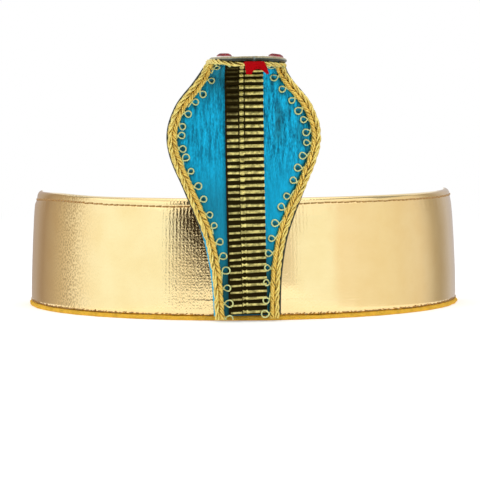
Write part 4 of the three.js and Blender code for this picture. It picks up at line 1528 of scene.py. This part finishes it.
class HEADPIECE_OT_stitches(bpy.types.Operator):
    """Make the rows of stitches on the hems and at the ends of the elastic"""

    bl_idname = "headpiece.stitches"
    bl_label = "Stitches"

    MARGIN = 2 * MM  # cloth left beyond the last stitch of a row
    HEM_PITCH = 1.35 * MM
    HEM_RISE = 2.15 * MM
    ELASTIC_STITCHES = 8  # in each of its rows
    UV_SIZE = (1.7 * MM, 3 * MM)  # girth and length that the UV map of a stitch holds

    def execute(self, context):
        band = context.scene.headpiece_band
        finish = sewing_thread(band)
        rng = np.random.default_rng(61)
        rows = (
            ("top_stitches", "gold_lame", self.top_row),
            ("hem_stitches", "gold_lame", self.hem_row),
            ("elastic_stitches", "elastic", self.elastic_rows),
        )
        for name, slot, sew in rows:
            tubes = sew(band, rng)
            mesh = closed_surface(name, tubes, tube_uv(tubes.shape, *self.UV_SIZE))
            add_piece(context, name, mesh, finish, slot)
        return {"FINISHED"}

    def top_row(self, band, rng):
        """Stitches of the top hem, end to end and nearly level."""
        pitch = band.stitch_pitch
        end = arc_at(band, band.end_turn)
        number = np.arange(-math.floor(end / pitch), end / pitch) + 0.5
        arc = number[np.abs(number * pitch) < end - self.MARGIN] * pitch
        rise = stitch_line(band, arc) + rng.normal(0.0, 0.06, len(arc)) * MM
        heading = rng.normal(math.radians(2), math.radians(1.5), len(arc))
        return self.on_cover(band, arc, rise, heading, 1.04 * pitch, 0.22 * MM)

    def hem_row(self, band, rng):
        """Short uneven stitches along the lower hem."""
        end = arc_at(band, band.end_turn) - self.MARGIN
        even = np.arange(-end, end, self.HEM_PITCH)
        arc = even + rng.normal(0.0, 0.25, len(even)) * MM
        rise = self.HEM_RISE + rng.normal(0.0, 0.12, len(arc)) * MM
        heading = rng.normal(math.radians(4), math.radians(22), len(arc))
        return self.on_cover(band, arc, rise, heading, 0.95 * self.HEM_PITCH, 0.19 * MM)

    def on_cover(self, band, arc, rise, heading, length, radius):
        """Stitches on the outside of the cover."""
        out = band.lining_thick + band.gap + cover_thick(band, arc, rise)
        return stitch_tubes(band, arc, rise, out, heading, length, radius)

    def elastic_rows(self, band, rng):
        """Two upright rows of stitches at each end of the elastic, on the inside of the ring."""
        low = 0.5 * (band.height - band.elastic_width) + self.MARGIN
        column = np.linspace(low, low + band.elastic_width - 2 * self.MARGIN, self.ELASTIC_STITCHES)
        start = arc_at(band, band.end_turn - band.elastic_lap)
        places = np.array([start + 3 * MM, start + 9 * MM, -start - 3 * MM, -start - 9 * MM])
        arc, rise = (grid.ravel() for grid in np.meshgrid(places, column, indexing="ij"))
        out = np.full(len(arc), -band.gap - band.elastic_thick)
        heading = 0.5 * math.pi + rng.normal(0.0, 0.05, len(arc))
        return stitch_tubes(band, arc, rise, out, heading, 2.6 * MM, 0.27 * MM, -1.0)


class HEADPIECE_PT_pieces(bpy.types.Panel):
    """Lists the settings and the pieces of the headpiece"""

    bl_idname = "HEADPIECE_PT_pieces"
    bl_label = "Headpiece"
    bl_space_type = "VIEW_3D"
    bl_region_type = "UI"
    bl_category = "Headpiece"

    def draw(self, context):
        """A button for each operator and a box for each group of settings."""
        for operator in OPERATORS:
            self.layout.operator(operator.bl_idname)
        for settings in SETTINGS:
            group = getattr(context.scene, settings)
            box = self.layout.box()
            for key in group.bl_rna.properties.keys():
                if key not in ("name", "rna_type"):
                    box.prop(group, key)


OPERATORS = (
    HEADPIECE_OT_stage,
    HEADPIECE_OT_gold_cover,
    HEADPIECE_OT_felt_lining,
    HEADPIECE_OT_elastic_strap,
    HEADPIECE_OT_stitches,
    HEADPIECE_OT_blue_hood,
    HEADPIECE_OT_ribbed_belly,
    HEADPIECE_OT_braid_cords,
    HEADPIECE_OT_thread_loops,
    HEADPIECE_OT_felt_tongue,
    HEADPIECE_OT_eye_stones,
)
SETTINGS = {
    "headpiece_band": BandSettings,
    "headpiece_cobra": CobraSettings,
    "headpiece_trim": TrimSettings,
    "headpiece_stage": StageSettings,
}


def register():
    """Makes the operators, the panel and the settings known."""
    for cls in (*SETTINGS.values(), *OPERATORS, HEADPIECE_PT_pieces):
        bpy.utils.register_class(cls)
    for name, cls in SETTINGS.items():
        setattr(bpy.types.Scene, name, PointerProperty(type=cls))


def unregister():
    """Takes the settings, the panel and the operators away again."""
    for name in SETTINGS:
        delattr(bpy.types.Scene, name)
    for cls in (HEADPIECE_PT_pieces, *reversed(OPERATORS), *reversed(SETTINGS.values())):
        bpy.utils.unregister_class(cls)


def main():
    """Builds the stage and every piece."""
    register()
    bpy.ops.headpiece.stage()
    bpy.ops.headpiece.gold_cover()
    bpy.ops.headpiece.felt_lining()
    bpy.ops.headpiece.elastic_strap()
    bpy.ops.headpiece.stitches()
    bpy.ops.headpiece.blue_hood()
    bpy.ops.headpiece.ribbed_belly()
    bpy.ops.headpiece.braid_cords()
    bpy.ops.headpiece.thread_loops()
    bpy.ops.headpiece.felt_tongue()
    bpy.ops.headpiece.eye_stones()


if __name__ == "__main__":
    main()
